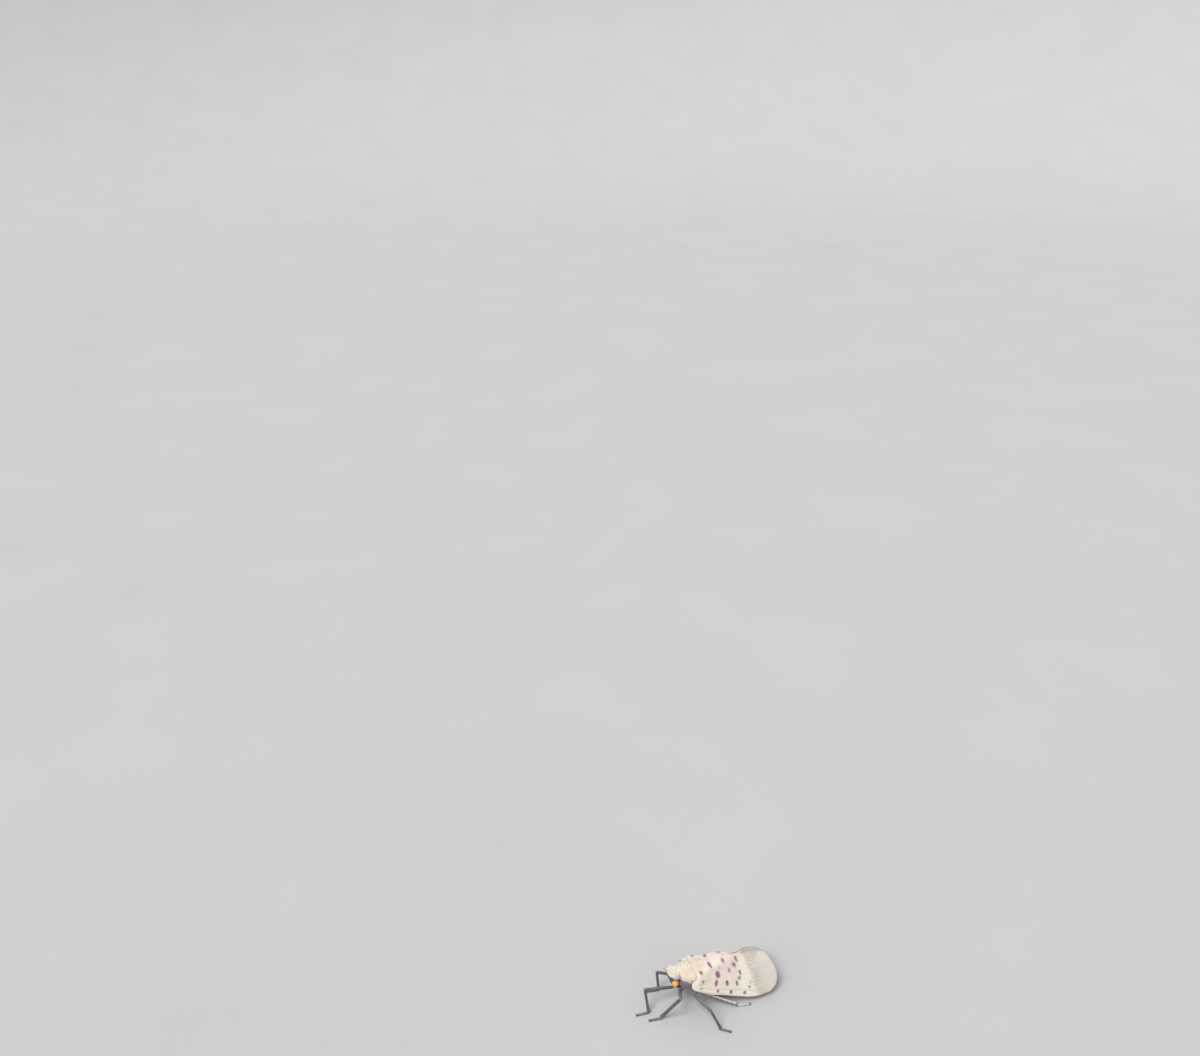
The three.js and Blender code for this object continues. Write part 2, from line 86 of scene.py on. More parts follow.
# Legs as hip, on the body, then hip joint and knee, above the floor as (side, back, height), ankle and toe
ANKLE_HEIGHT = 0.7
SOLE = 0.2
LEGS = {
    "front_left": ((1.45, 3.3, -1.2), (1.3, -9.8, 3.7), (5.05, -11.2, 6.2), (3.6, -14.8), (3.3, -17.2)),
    "front_right": ((-1.45, 3.3, -1.2), (-0.8, -10.4, 3.1), (-0.2, -17.2, 5.4), (1.3, -16.9), (1.2, -19.3)),
    "middle_left": ((2.0, 6.1, -1.9), (3.3, -7.3, 4.0), (8.9, -6.1, 5.2), (9.9, -4.2), (11.2, -2.5)),
    "middle_right": ((-2.0, 6.1, -1.9), (-2.5, -7.4, 3.5), (-3.8, -13.1, 5.3), (-3.5, -12.7), (-3.8, -15.0)),
    "hind_left": ((1.3, 8.6, -1.9), (1.5, -1.0, 4.1), (3.3, -5.2, 3.9), (5.7, 1.7), (6.2, 4.4)),
    "hind_right": ((-1.3, 8.6, -1.9), (-1.5, -1.0, 4.1), (-3.3, -5.3, 3.9), (-5.6, 1.4), (-6.3, 4.0)),
}

# Camera, from the photo: place above the floor and heading, with the photo's angle of view
CAMERA_AT = (147.34, -74.32, 188.78)
CAMERA_TURN = (math.radians(65), 0.0, math.radians(71.24))
CAMERA_LENS = 31.71
CAMERA_SENSOR = 36.0

# Light: a broad lamp from high on the insect's left front, in a pale studio
SUN_FROM = (0.45, -0.75, 1.35)
SUN_SIZE = math.radians(28)
SUN_STRENGTH = 2.3
STUDIO_GLOW = 0.62


# Small maths


def lerp(a, b, share):
    return a + (b - a) * share


def smooth(value, low, high):
    share = np.clip((value - low) / (high - low), 0, 1)
    return share * share * (3 - 2 * share)


def bump(value, width):
    """1 at 0, falling smoothly to nothing over about twice the width."""
    return np.exp(-((value / width) ** 2))


def rounded(value, power):
    return np.sign(value) * np.abs(value) ** power


def direction(vector):
    return vector / np.linalg.norm(vector, axis=-1, keepdims=True)


def turns(count):
    return np.linspace(0, 2 * np.pi, count, endpoint=False)


def grid_of(first, second):
    return np.meshgrid(first, second, indexing="ij")


def between(value, low, high, fall, end):
    """0, then 1 from high to fall, then 0 again."""
    return smooth(value, low, high) * (1 - smooth(value, fall, end))


class Curve:
    """A smooth curve through points of any number of columns."""

    def __init__(self, points, steps=200):
        self.points = np.array(points, float)
        self.shares = np.linspace(0, 1, steps + 1)
        stretch = np.linalg.norm(np.diff(self.at(self.shares), axis=0), axis=1)
        self.lengths = np.concatenate([[0], np.cumsum(stretch)])

    def at(self, share):
        place = (len(self.points) - 1) * np.asarray(share, float)
        last = len(self.points) - 1
        index = np.minimum(np.floor(place).astype(int), last)
        t = (place - index)[..., None]
        before, here, after, later = (self.points[np.clip(index + n, 0, last)] for n in (-1, 0, 1, 2))
        v0, v1 = (after - before) / 2, (later - here) / 2
        cubic, square = 2 * here - 2 * after + v0 + v1, 3 * after - 3 * here - 2 * v0 - v1
        return cubic * t**3 + square * t**2 + v0 * t + here

    def along(self, share):
        return self.at(np.interp(np.asarray(share) * self.lengths[-1], self.lengths, self.shares))


def soft_noise(points, size, seed=0):
    """Smooth noise from about -1 to 1 with features of the given size, as a sum of waves."""
    waves = np.random.default_rng(SEED + seed)
    total = np.zeros(len(points))
    for _ in range(14):
        way = waves.normal(size=3)
        way *= 2 * np.pi / (size * waves.uniform(0.7, 1.6) * np.linalg.norm(way))
        total += np.sin(points @ way + waves.uniform(0, 2 * np.pi))
    return total / 3.2


# Frame of the tilted body inside the model


def from_middle(place):
    """A (side, station, height) on the body as (side, back, height) from its middle."""
    side, station, height = place
    return np.array((side, station - TOTAL_LENGTH / 2, height))


TURN = np.array(Matrix.Rotation(-HEAD_UP, 3, "X"))
eye_low, eye_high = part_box("eye_left")
BODY_AT = np.array(eye_low + eye_high) / (2 * MM) - TURN @ from_middle(EYE["place"])
FLOOR_AT = np.array((BODY_AT[0], BODY_AT[1], 0.0))


def to_model(points):
    """Points as (side, back, height) from the body's middle, into the model."""
    return points @ TURN.T + BODY_AT


def on_body(place):
    return to_model(from_middle(place))


def to_body(points):
    """Model points as (side, station, height)."""
    return (points - BODY_AT) @ TURN + np.array((0, TOTAL_LENGTH / 2, 0))


# Meshes


def ring_faces(rows, columns):
    """Triangles of a grid of points that closes on itself across its columns."""
    grid = np.arange(rows * columns).reshape(rows, columns)
    grid = np.hstack([grid, grid[:, :1]])
    quads = np.stack([grid[:-1, :-1], grid[:-1, 1:], grid[1:, 1:], grid[1:, :-1]], -1).reshape(-1, 4)
    return np.vstack([quads[:, [0, 1, 2]], quads[:, [0, 2, 3]]])


def tube(rings):
    """A closed surface from rings of points, with a middle point at each end."""
    count, sides, _ = rings.shape
    points = np.vstack([rings.reshape(-1, 3), rings[0].mean(0), rings[-1].mean(0)])
    first = np.arange(sides)
    following = (first + 1) % sides
    base = (count - 1) * sides
    start = np.stack([following, first, np.full(sides, count * sides)], -1)
    end = np.stack([base + first, base + following, np.full(sides, count * sides + 1)], -1)
    return points, np.vstack([ring_faces(count, sides), start, end])


def merged(shapes):
    """Several (points, triangles) as one."""
    all_points, all_faces, count = [], [], 0
    for points, faces in shapes:
        all_points.append(points)
        all_faces.append(faces + count)
        count += len(points)
    return np.vstack(all_points), np.vstack(all_faces)


def add_object(name, data):
    made = bpy.data.objects.new(name, data)
    bpy.context.scene.collection.objects.link(made)
    return made


def make_mesh(name, points, faces):
    mesh = bpy.data.meshes.new(name)
    mesh.from_pydata(points.tolist(), [], faces.tolist(), shade_flat=False)
    return mesh


def make_piece(name, shape, material, replaces=(), values=None):
    """An object of the model from points in millimetres and faces, with values for each point."""
    points, faces = shape
    mesh = make_mesh(name, points * MM, faces)
    mesh.validate()
    for key, value in (values or {}).items():
        kind, field = ("FLOAT_VECTOR", "vector") if value.ndim == 2 else ("FLOAT", "value")
        layer = mesh.attributes.new(key, kind, "POINT")
        layer.data.foreach_set(field, value.astype(np.float32).ravel())
    piece = add_object(name, mesh)
    mesh.materials.append(material)
    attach(piece, "root")
    if replaces:
        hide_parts(*replaces)


def ellipsoid(middle, half, around=48, down=32):
    """Points and triangles of an ellipsoid, and the same points on a ball of radius 1."""
    polar = np.linspace(0, np.pi, down + 1)[1:-1, None]
    angle = turns(around)[None, :]
    rings = [np.sin(polar) * np.cos(angle), np.sin(polar) * np.sin(angle), np.cos(polar) + 0 * angle]
    ball, faces = tube(np.stack(rings, -1))
    ball[-2:] = (0, 0, 1), (0, 0, -1)
    return ball * np.array(half) + np.array(middle), faces, ball


def limb_axes(start, end):
    """Directions along a limb, level across it and upward from it."""
    along = direction(end - start)
    across = direction(np.cross((0, 0, 1), along))
    return along, across, np.cross(along, across)


def limb(start, end, radii, count=30, tall=1.0, ribs=0.0, cap=0.5, sides=28):
    """A closed limb between two points, with rounded ends and low ribs along it."""
    start, end = np.array(start, float), np.array(end, float)
    length = np.linalg.norm(end - start)
    along, across, upward = limb_axes(start, end)
    table = np.array(radii, float)
    shares = np.linspace(0, 1, count)
    radius = np.interp(shares, table[:, 0], table[:, 1])
    padded = np.pad(radius, 1, mode="edge")
    radius = (padded[:-2] + 2 * radius + padded[2:]) / 4
    bulge = np.array([0.0, 0.45, 0.75, 0.93])
    reach = np.sqrt(1 - bulge**2) * cap / length
    shares = np.concatenate([-reach * radius[0], shares, 1 + (reach * radius[-1])[::-1]])
    radius = np.concatenate([bulge * radius[0], radius, (bulge * radius[-1])[::-1]])
    angle = turns(sides)
    swell = 1 + ribs * np.cos(4 * angle)
    ring = across * (np.cos(angle) * swell)[:, None] + upward * (np.sin(angle) * swell * tall)[:, None]
    middle = start + along * (shares * length)[:, None]
    return tube(middle[:, None, :] + ring[None] * radius[:, None, None])


def bent_tube(path, radii, sides=14):
    """A tapering tube along a smooth path."""
    way = direction(np.gradient(path, axis=0))
    across = direction(np.cross((0.12, 0.2, 1.0), way))
    angle = turns(sides)[None, :, None]
    ring = across[:, None] * np.cos(angle) + np.cross(way, across)[:, None] * np.sin(angle)
    return tube(path[:, None] + ring * radii[:, None, None])


# Body surfaces


def loft(rows, sides=96, steps=60, square=0.86, bow=0.5, keels=(), keel=(0.12, 0.1)):
    """A length of the body through rows of (station, half width, top, bottom), in the model."""
    share = np.linspace(0, 1, steps)
    station, half, top, bottom = (column[:, None] for column in Curve(rows).at(share).T)
    angle = turns(sides)[None, :]
    x, z = np.sin(angle), np.cos(angle)
    side, up = rounded(x, square), rounded(z, square)
    raised = sum((keel[0] * bump(x - place, keel[1]) for place in keels), np.zeros_like(x)) * (z > 0)
    points = np.stack(
        [
            half * side,
            station - TOTAL_LENGTH / 2 + bow * (side**2 - 0.4),
            (top + bottom) / 2 + (top - bottom) / 2 * up + raised,
        ],
        -1,
    )
    return tube(to_model(points))


# Levels down the face as (height, front station, back station, half width, rise to the back)
FACE = [
    (1.62, -0.25, 1.95, 1.25, 0.24),
    (1.45, -0.42, 2.1, 1.42, 0.2),
    (1.0, -0.48, 2.2, 1.5, 0.1),
    (0.2, -0.3, 2.2, 1.5, 0),
    (-0.7, 0.12, 2.2, 1.45, 0),
    (-1.5, 0.62, 2.25, 1.3, 0),
    (-2.1, 1.15, 2.4, 0.95, 0),
    (-2.8, 1.8, 2.7, 0.6, 0),
    (-3.35, 2.3, 2.9, 0.36, 0),
]
CROWN_DISH = 0.22
LIP_TOP = -1.6
FACE_EDGE = (math.radians(40), 0.12)
FACE_KEEL = (math.radians(10), 0.05)
FACE_RIDGE = math.radians(6)


def head_surface(sides=140, down=90):
    rows = [column[:, None] for column in Curve(FACE).at(np.linspace(0, 1, down)).T]
    angle = np.linspace(-np.pi, np.pi, sides, endpoint=False)[None, :]
    x, z = np.sin(angle), np.cos(angle)
    face = smooth(rows[0], LIP_TOP - 0.15, LIP_TOP + 0.15)
    grown = 1 + FACE_EDGE[1] * face * bump(np.abs(angle) - FACE_EDGE[0], FACE_RIDGE)
    grown = grown + FACE_KEEL[1] * face * bump(np.abs(angle) - FACE_KEEL[0], FACE_RIDGE)
    grown = grown + FACE_KEEL[1] * (1 - face) * bump(angle, FACE_RIDGE)

    def level(height, front, back, half, rise, grown, pull=1.0):
        return np.stack(
            [
                half * grown * rounded(x, 0.75) * pull,
                (front + back) / 2 - TOTAL_LENGTH / 2 - (back - front) / 2 * grown * rounded(z, 0.75) * pull,
                height - rise * z * pull,
            ],
            -1,
        )

    crown = []
    for pull in (0.06, 0.25, 0.45, 0.63, 0.78, 0.9):
        ring = level(*(row[:1] for row in rows), grown[:1], pull)
        ring[..., 2] -= CROWN_DISH * (1 - pull**4)
        crown.append(ring)
    return tube(to_model(np.concatenate([*crown, level(*rows, grown)])))


def abdomen_rows():
    rings, rows = 7, []
    for ring in range(rings):
        for share, flare in ((0.0, 0.9), (0.12, 0.96), (0.8, 1.0), (0.97, 0.99)):
            along = (ring + share) / rings
            swell = flare * math.sqrt(1 - 0.93 * along**2.6)
            middle = lerp(-0.75, -1.5, along)
            rows.append((lerp(9.8, 17.6, along), 2.1 * swell, middle + 1.8 * swell, middle - 1.8 * swell))
    return rows


COXA = [(0, 0.5), (0.5, 0.48), (0.85, 0.4), (1, 0.3)]
FEMUR = [(0, 0.28), (0.06, 0.34), (0.3, 0.39), (0.7, 0.33), (0.88, 0.31), (0.95, 0.36), (1, 0.3)]
TIBIA = [(0, 0.18), (0.05, 0.22), (0.12, 0.29), (0.5, 0.26), (0.88, 0.27), (0.96, 0.33), (1, 0.27)]
TARSUS = [(0, 0.24), (0.3, 0.28), (0.37, 0.22), (0.44, 0.27), (0.62, 0.27), (0.69, 0.2), (0.76, 0.25)]
TARSUS.append((1, 0.2))
FRONT_TIBIA_TALL = 1.45


def leg_points(leg):
    hip, trochanter, knee, ankle, toe = LEGS[leg]
    ankle = np.array((*ankle, ANKLE_HEIGHT)) + FLOOR_AT
    heel = np.array((ankle[0], ankle[1], SOLE))
    toe = np.array((*toe, SOLE)) + FLOOR_AT
    return on_body(hip), trochanter + FLOOR_AT, knee + FLOOR_AT, ankle, heel, toe


def leg_shapes(leg):
    hip, trochanter, knee, ankle, heel, toe = leg_points(leg)
    tall = FRONT_TIBIA_TALL if leg.startswith("front") else 1.0
    shapes = {
        "coxa": limb(hip, trochanter, COXA, cap=0.8),
        "femur": limb(trochanter, knee, FEMUR, ribs=0.03, cap=0.9),
        "tibia": limb(knee, ankle, TIBIA, ribs=0.09, tall=tall, cap=0.8),
        "ankle": limb(ankle, heel + (heel - toe) * 0.01, [(0, 0.2), (1, 0.22)], count=6, cap=1.0),
        "tarsus": limb(heel, toe, TARSUS, count=60, cap=0.7),
    }
    shapes["tarsus"][0][:, 2] = np.maximum(shapes["tarsus"][0][:, 2], 0)
    return shapes


PRONOTUM = [
    (1.5, 1.3, 1.45, -0.9),
    (1.75, 1.85, 1.8, -1.2),
    (2.1, 2.2, 2.02, -1.7),
    (2.6, 2.45, 2.2, -2.0),
    (3.2, 2.65, 2.42, -2.1),
    (3.8, 2.75, 2.55, -2.1),
    (4.0, 2.62, 2.44, -2.1),
]
THORAX = [
    (3.6, 2.3, 2.2, -2.1),
    (4.15, 2.6, 2.5, -2.3),
    (4.9, 2.85, 2.8, -2.6),
    (6.2, 2.95, 2.85, -2.8),
    (7.8, 2.7, 2.7, -2.8),
    (9.5, 2.2, 1.9, -2.6),
]


ROSTRUM = [(0, 0.3), (0.35, 0.26), (0.6, 0.3), (0.95, 0.24), (1, 0.12)]
SOCKET_IN = 0.62


def lump(place, half, around=48, down=32):
    points, faces, _ = ellipsoid(from_middle(place), half, around, down)
    return to_model(points), faces


def trunk_shapes():
    shapes = {
        "head": head_surface(),
        "pronotum": loft(PRONOTUM, keels=(0,)),
        "thorax": loft(THORAX, keels=(-0.5, 0, 0.5)),
        "abdomen": loft(abdomen_rows(), square=0.95, steps=160, bow=0),
        "rostrum": limb(on_body((0, 2.5, -3.3)), on_body((0, 9.6, -3.35)), ROSTRUM, ribs=0.05),
        "thorax_back": lump((0, 7.6, 2.55), (0.75, 1.5, 0.66), 64, 40),
    }
    for sign in (-1, 1):
        x, y, z = EYE["place"]
        shapes[f"collar{sign}"] = lump((sign * x, y, z), (0.22, 0.8, 0.66))
        x, y, z = PEDICEL["place"]
        shapes[f"socket{sign}"] = lump((sign * (x - SOCKET_IN), y + 0.1, z), (0.34, 0.52, 0.56))
    return shapes


VOXEL = 0.05


def fused(shapes):
    """One watertight skin of quads round all the shapes, in millimetres."""
    mesh = make_mesh("fusing", *merged(shapes.values()))
    lumps = add_object("fusing", mesh)
    remesh = lumps.modifiers.new("remesh", "REMESH")
    remesh.mode = "VOXEL"
    remesh.voxel_size = VOXEL
    remesh.adaptivity = 0
    made = lumps.evaluated_get(bpy.context.evaluated_depsgraph_get()).to_mesh()
    skin_points = np.zeros(len(made.vertices) * 3, np.float32)
    made.vertices.foreach_get("co", skin_points)
    corners = np.zeros(len(made.loops), np.int32)
    made.loops.foreach_get("vertex_index", corners)
    bpy.data.objects.remove(lumps)
    bpy.data.meshes.remove(mesh)
    return skin_points.reshape(-1, 3).astype(float), corners.reshape(-1, 4)


class Neighbours:
    """Averages of values over the points that share an edge."""

    def __init__(self, faces, count):
        edges = np.vstack([faces[:, [n, (n + 1) % faces.shape[1]]] for n in range(faces.shape[1])])
        self.a, self.b = np.vstack([edges, edges[:, ::-1]]).T
        self.count = count
        self.ties = np.bincount(self.a, minlength=count)

    def mean(self, values):
        if values.ndim == 1:
            return np.bincount(self.a, values[self.b], self.count) / self.ties
        return np.stack([self.mean(column) for column in values.T], -1)

    def relaxed(self, values, times, share=0.5):
        for _ in range(times):
            values = lerp(values, self.mean(values), share)
        return values


def normals_of(points, quads):
    diagonal = np.cross(points[quads[:, 2]] - points[quads[:, 0]], points[quads[:, 3]] - points[quads[:, 1]])
    total = np.zeros_like(points)
    for corner in range(4):
        for axis in range(3):
            total[:, axis] += np.bincount(quads[:, corner], diagonal[:, axis], len(points))
    return total / np.maximum(np.linalg.norm(total, axis=1, keepdims=True), 1e-12)


def nearest_parts(points, shapes):
    """The index of the shape that each point lies on."""
    all_points, all_faces = merged(shapes.values())
    owner = np.repeat(np.arange(len(shapes)), [len(faces) for _, faces in shapes.values()])
    tree = BVHTree.FromPolygons(all_points.tolist(), all_faces.tolist())
    return owner[[tree.find_nearest(place)[2] for place in points.tolist()]]


# Materials


class Paint:
    """A procedural material. Texture coordinates are millimetres in the model."""

    def __init__(self, name, roughness=0.5, specular=0.5, sheen=0.0, coat=0.0):
        self.material = bpy.data.materials.new(name)
        self.material.use_nodes = True
        self.tree = self.material.node_tree
        self.sockets = self.tree.nodes["Principled BSDF"].inputs
        weights = {"Roughness": roughness, "Specular IOR Level": specular}
        for key, value in (weights | {"Sheen Weight": sheen, "Coat Weight": coat}).items():
            self.sockets[key].default_value = value
        place = self.node("ShaderNodeTexCoord")["Object"]
        self.place = self.node("ShaderNodeVectorMath", {0: place, "Scale": 1 / MM}, operation="SCALE")[0]

    def node(self, kind, inputs=None, **settings):
        """The outputs of a new node."""
        node = self.tree.nodes.new(kind)
        for key, value in settings.items():
            setattr(node, key, value)
        for key, value in (inputs or {}).items():
            self.put(node.inputs[key], value)
        return node.outputs

    def put(self, socket, value):
        if isinstance(value, bpy.types.NodeSocket):
            self.tree.links.new(value, socket)
        else:
            socket.default_value = (*value, 1) if socket.type == "RGBA" else value

    def value(self, key, output="Fac"):
        return self.node("ShaderNodeAttribute", attribute_name=key)[output]

    def noise(self, scale, detail=3.0, rough=0.5):
        inputs = {"Vector": self.place, "Scale": scale, "Detail": detail, "Roughness": rough}
        return self.node("ShaderNodeTexNoise", inputs)["Fac"]

    def cells(self, scale):
        return self.node("ShaderNodeTexVoronoi", {"Vector": self.place, "Scale": scale})["Distance"]

    def bricks(self, where, width, height, mortar):
        sizes = {"Scale": 1.0, "Brick Width": width, "Row Height": height}
        lines = {"Mortar Size": mortar, "Mortar Smooth": 0.6}
        colors = {"Color1": (0, 0, 0), "Color2": (1, 1, 1)}
        return self.node("ShaderNodeTexBrick", {"Vector": where} | sizes | lines | colors)

    def product(self, a, b):
        return self.node("ShaderNodeMath", {0: a, 1: b}, operation="MULTIPLY")[0]

    def span(self, value, low, high, to_low=0.0, to_high=1.0):
        inputs = {"Value": value, "From Min": low, "From Max": high, "To Min": to_low, "To Max": to_high}
        return self.node("ShaderNodeMapRange", inputs, interpolation_type="SMOOTHSTEP")["Result"]

    def coats(self, color, *coats):
        """A colour under coats of (share, colour), where a share may be the name of a mesh value."""
        for share, over in coats:
            share = self.value(share) if isinstance(share, str) else share
            color = self.node("ShaderNodeMix", {0: share, 6: color, 7: over}, data_type="RGBA")[2]
        return color

    def finish(self, color, *layers, roughness=None):
        """The material, with bumps from layers of (height, depth in millimetres)."""
        normal = None
        for height, depth in layers:
            inputs = {"Strength": 1.0, "Distance": depth * MM, "Height": height}
            if normal is not None:
                inputs["Normal"] = normal
            normal = self.node("ShaderNodeBump", inputs)["Normal"]
        self.put(self.sockets["Normal"], normal)
        self.put(self.sockets["Base Color"], color)
        if roughness is not None:
            self.put(self.sockets["Roughness"], roughness)
        return self.material


CREAM = (0.74, 0.655, 0.515)
CREAM_DEEP = (0.65, 0.54, 0.40)
CROWN = (0.70, 0.64, 0.555)
BLUSH = (0.66, 0.47, 0.41)
MARK = (0.26, 0.19, 0.14)
# Pale colour used for thin wax on the flanks and for a painted highlight on the legs' upper faces
WAX_AND_HIGHLIGHT = (0.66, 0.63, 0.62)
SLATE = (0.135, 0.142, 0.155)
SLATE_DEEP = (0.075, 0.078, 0.086)
PURPLE = (0.19, 0.135, 0.175)
FLANK = (0.17, 0.15, 0.145)
YELLOW = (0.78, 0.44, 0.06)


def cuticle_material():
    paint = Paint("cuticle", roughness=0.5, specular=0.4, sheen=0.08)
    mottle = paint.noise(0.7, 4, 0.55)
    grain = paint.noise(9.0, 3, 0.6)
    pale = paint.coats(
        CREAM,
        (paint.span(mottle, 0.42, 0.72, 0, 0.5), CREAM_DEEP),
        (paint.product(paint.value("crown"), 0.75), CROWN),
        ("blush", BLUSH),
        (paint.span(grain, 0.5, 0.75, 0, 0.2), (0.80, 0.76, 0.68)),
    )
    dark = paint.coats(
        SLATE_DEEP,
        (paint.span(mottle, 0.35, 0.68), SLATE),
        (paint.span(grain, 0.5, 0.8, 0, 0.25), (0.21, 0.215, 0.23)),
    )
    color = paint.coats(
        pale,
        ("flank", paint.coats(PURPLE, (paint.span(mottle, 0.4, 0.6), FLANK))),
        ("dark", dark),
        ("belly", paint.coats(YELLOW, ("band", (0.03, 0.028, 0.03)))),
        ("mark", MARK),
        # Painted shade in the grooves and along the seam behind the head
        ("crease", (0.16, 0.11, 0.085)),
        # Painted highlight on the legs' upper faces, and thin pale wax on the flanks
        ("bloom", WAX_AND_HIGHLIGHT),
    )
    rough = paint.span(paint.value("dark"), 0, 1, 0.6, 0.4)
    inputs = {0: rough, 1: paint.product(grain, 0.12)}
    rough = paint.node("ShaderNodeMath", inputs, operation="ADD", use_clamp=True)[0]
    layers = (grain, 0.008), (paint.cells(14.0), 0.003), (paint.noise(40.0, 2), 0.004)
    return paint.finish(color, *layers, roughness=rough)


def eye_material():
    paint = Paint("eye", roughness=0.16, specular=0.6, coat=0.6)
    mottle = paint.noise(3.0, 3)
    # The upper half of each eye is painted pale lavender: a painted highlight where light falls on the eye's
    # top
    top = paint.coats((0.46, 0.40, 0.45), (mottle, (0.62, 0.55, 0.60)))
    color = paint.coats(
        (0.05, 0.025, 0.015),
        (mottle, (0.13, 0.055, 0.03)),
        (paint.span(paint.value("rise"), -0.45, 0.05), top),
        (paint.span(paint.value("dome"), 0.0, 0.5, 0.45, 0), (0.10, 0.05, 0.04)),
    )
    return paint.finish(color, (mottle, 0.01))


def antenna_material():
    paint = Paint("antenna", roughness=0.42, specular=0.45)
    mottle = paint.noise(3.0, 3)
    dots = paint.product(paint.span(paint.cells(4.2), 0.14, 0.24, 1, 0), paint.value("bulb"))
    color = paint.coats(
        (0.86, 0.36, 0.055),
        (mottle, (0.95, 0.50, 0.12)),
        (paint.product(dots, 0.7), (0.95, 0.78, 0.5)),
    )
    color = paint.coats((0.03, 0.02, 0.02), ("bulb", color))
    return paint.finish(color, (dots, 0.03), (paint.noise(16.0, 3), 0.015))


def claw_material():
    paint = Paint("claw", roughness=0.3, specular=0.5)
    color = paint.coats(
        (0.10, 0.085, 0.08),
        ("tip", (0.015, 0.013, 0.013)),
        (paint.span(paint.noise(6.0, 3), 0.5, 0.8, 0, 0.4), (0.16, 0.13, 0.11)),
    )
    return paint.finish(color, (paint.noise(25.0, 3), 0.006))


NET_CELL = (0.62, 0.235)
NET_LINE_WIDTH = 0.035


def forewing_material():
    paint = Paint("forewing", roughness=0.5, specular=0.35, sheen=0.1)
    flat = paint.value("flat", "Vector")
    grain = paint.noise(7.0, 4, 0.6)
    base = paint.coats(
        (0.77, 0.715, 0.60),
        ("pink", (0.79, 0.655, 0.60)),
        ("yellow", (0.77, 0.71, 0.53)),
        ("costal", (0.80, 0.74, 0.68)),
        (paint.span(paint.noise(0.55, 4, 0.6), 0.42, 0.7, 0, 0.35), (0.80, 0.73, 0.62)),
        (paint.span(grain, 0.5, 0.75, 0, 0.25), (0.68, 0.59, 0.51)),
    )
    bricks = paint.bricks(flat, *NET_CELL, NET_LINE_WIDTH)
    mortar = bricks["Fac"]
    dash = paint.bricks(flat, 2 * NET_CELL[0], 2 * NET_CELL[1], 0.05)["Fac"]
    net = paint.coats(
        (0.46, 0.415, 0.33),
        (bricks["Color"], (0.66, 0.60, 0.50)),
        ("tip", (0.62, 0.585, 0.53)),
        (mortar, (0.76, 0.70, 0.63)),
        (paint.product(dash, paint.span(paint.value("tip"), 0, 0.8, 0.35, 0.05)), (0.42, 0.37, 0.28)),
    )
    spot = paint.coats(
        (0.10, 0.075, 0.06),
        ("rosy", (0.23, 0.10, 0.15)),
        (paint.span(grain, 0.4, 0.7, 0, 0.25), (0.34, 0.25, 0.24)),
    )
    color = paint.coats(
        base,
        ("apex", net),
        (paint.product(mortar, paint.value("before")), (0.62, 0.56, 0.46)),
        (paint.product(paint.value("vein"), 0.4), (0.72, 0.63, 0.52)),
        ("fold", (0.82, 0.75, 0.58)),
        ("costa", (0.50, 0.47, 0.37)),
        ("halo", (0.70, 0.47, 0.53)),
        ("spot", spot),
        ("rim", (0.42, 0.27, 0.20)),
    )
    net_height = paint.product(mortar, paint.value("apex"))
    return paint.finish(color, (net_height, 0.012), (grain, 0.01), (paint.noise(30.0, 2), 0.004))


def hindwing_material():
    paint = Paint("hindwing", roughness=0.5, specular=0.35)
    mottle = paint.noise(1.2, 4)
    color = paint.coats(
        (0.50, 0.035, 0.025),
        (mottle, (0.66, 0.09, 0.05)),
        ("band", paint.coats((0.80, 0.76, 0.70), (mottle, (0.66, 0.62, 0.58)))),
        ("black", (0.025, 0.022, 0.022)),
        (paint.product(paint.value("vein"), 0.35), (0.2, 0.05, 0.04)),
    )
    return paint.finish(color, (paint.noise(8.0, 4), 0.015))


CUTICLE = cuticle_material()
CLAW_PAINT = claw_material()


# Skin


shapes = trunk_shapes()
for leg in LEGS:
    for part, shape in leg_shapes(leg).items():
        shapes[f"{part}_{leg}"] = shape
names = list(shapes)
skin, quads = fused(shapes)
ties = Neighbours(quads, len(skin))
skin = ties.relaxed(skin, 2, 0.4)
part = nearest_parts(skin, shapes)


def on_parts(*starts):
    """1 on the named shapes and 0 elsewhere, softened over a few points."""
    chosen = np.array([name.startswith(starts) for name in names])
    return ties.relaxed(chosen[part].astype(float), 6)


place = to_body(skin)
side, station, height = np.abs(place[:, 0]), place[:, 1], place[:, 2]
wander = soft_noise(skin, 1.2)
legs = on_parts("coxa", "femur", "tibia", "ankle", "tarsus")
head = on_parts("head", "collar", "socket")
rostrum, pronotum, thorax, abdomen = map(on_parts, ("rostrum", "pronotum", "thorax", "abdomen"))

# The face is dark below the crown's front edge, and so are the cheeks below the eyes
face_line = lerp(1.0, 0.42, smooth(station, 0.0, 1.2))
face = smooth(face_line - height + 0.04 * wander, -0.06, 0.06)
dark = np.clip(legs + rostrum + head * face, 0, 1)
pronotum_line = lerp(0.45, -0.15, smooth(station, 3.2, 4.1)) + 0.04 * wander
flank = pronotum * smooth(pronotum_line - height, -0.12, 0.12)
flank = np.clip(flank + thorax * smooth(-0.5 - height + 0.05 * wander, -0.15, 0.15), 0, 1)
ring_share = (station - 9.8) / 7.8 * 7
in_ring = ring_share - np.floor(ring_share)
band = smooth(in_ring, 0.5, 0.62) * smooth(height + 1.2 + 0.2 * wander, -0.4, 0.3)

# Marks on the back as (side, station, half width, half length, strength)
MARKS = [
    (0.3, 4.82, 0.3, 0.17, 0.5),
    (1.3, 4.57, 0.25, 0.14, 0.35),
    (0.95, 4.75, 0.4, 0.1, 0.25),
    (0.35, 2.42, 0.2, 0.12, 0.3),
]
BLUSHES = [(1.42, 3.0, 0.6, 0.4, 0.55), (1.0, 2.55, 0.4, 0.2, 0.35), (0.9, 5.9, 0.5, 0.5, 0.3)]


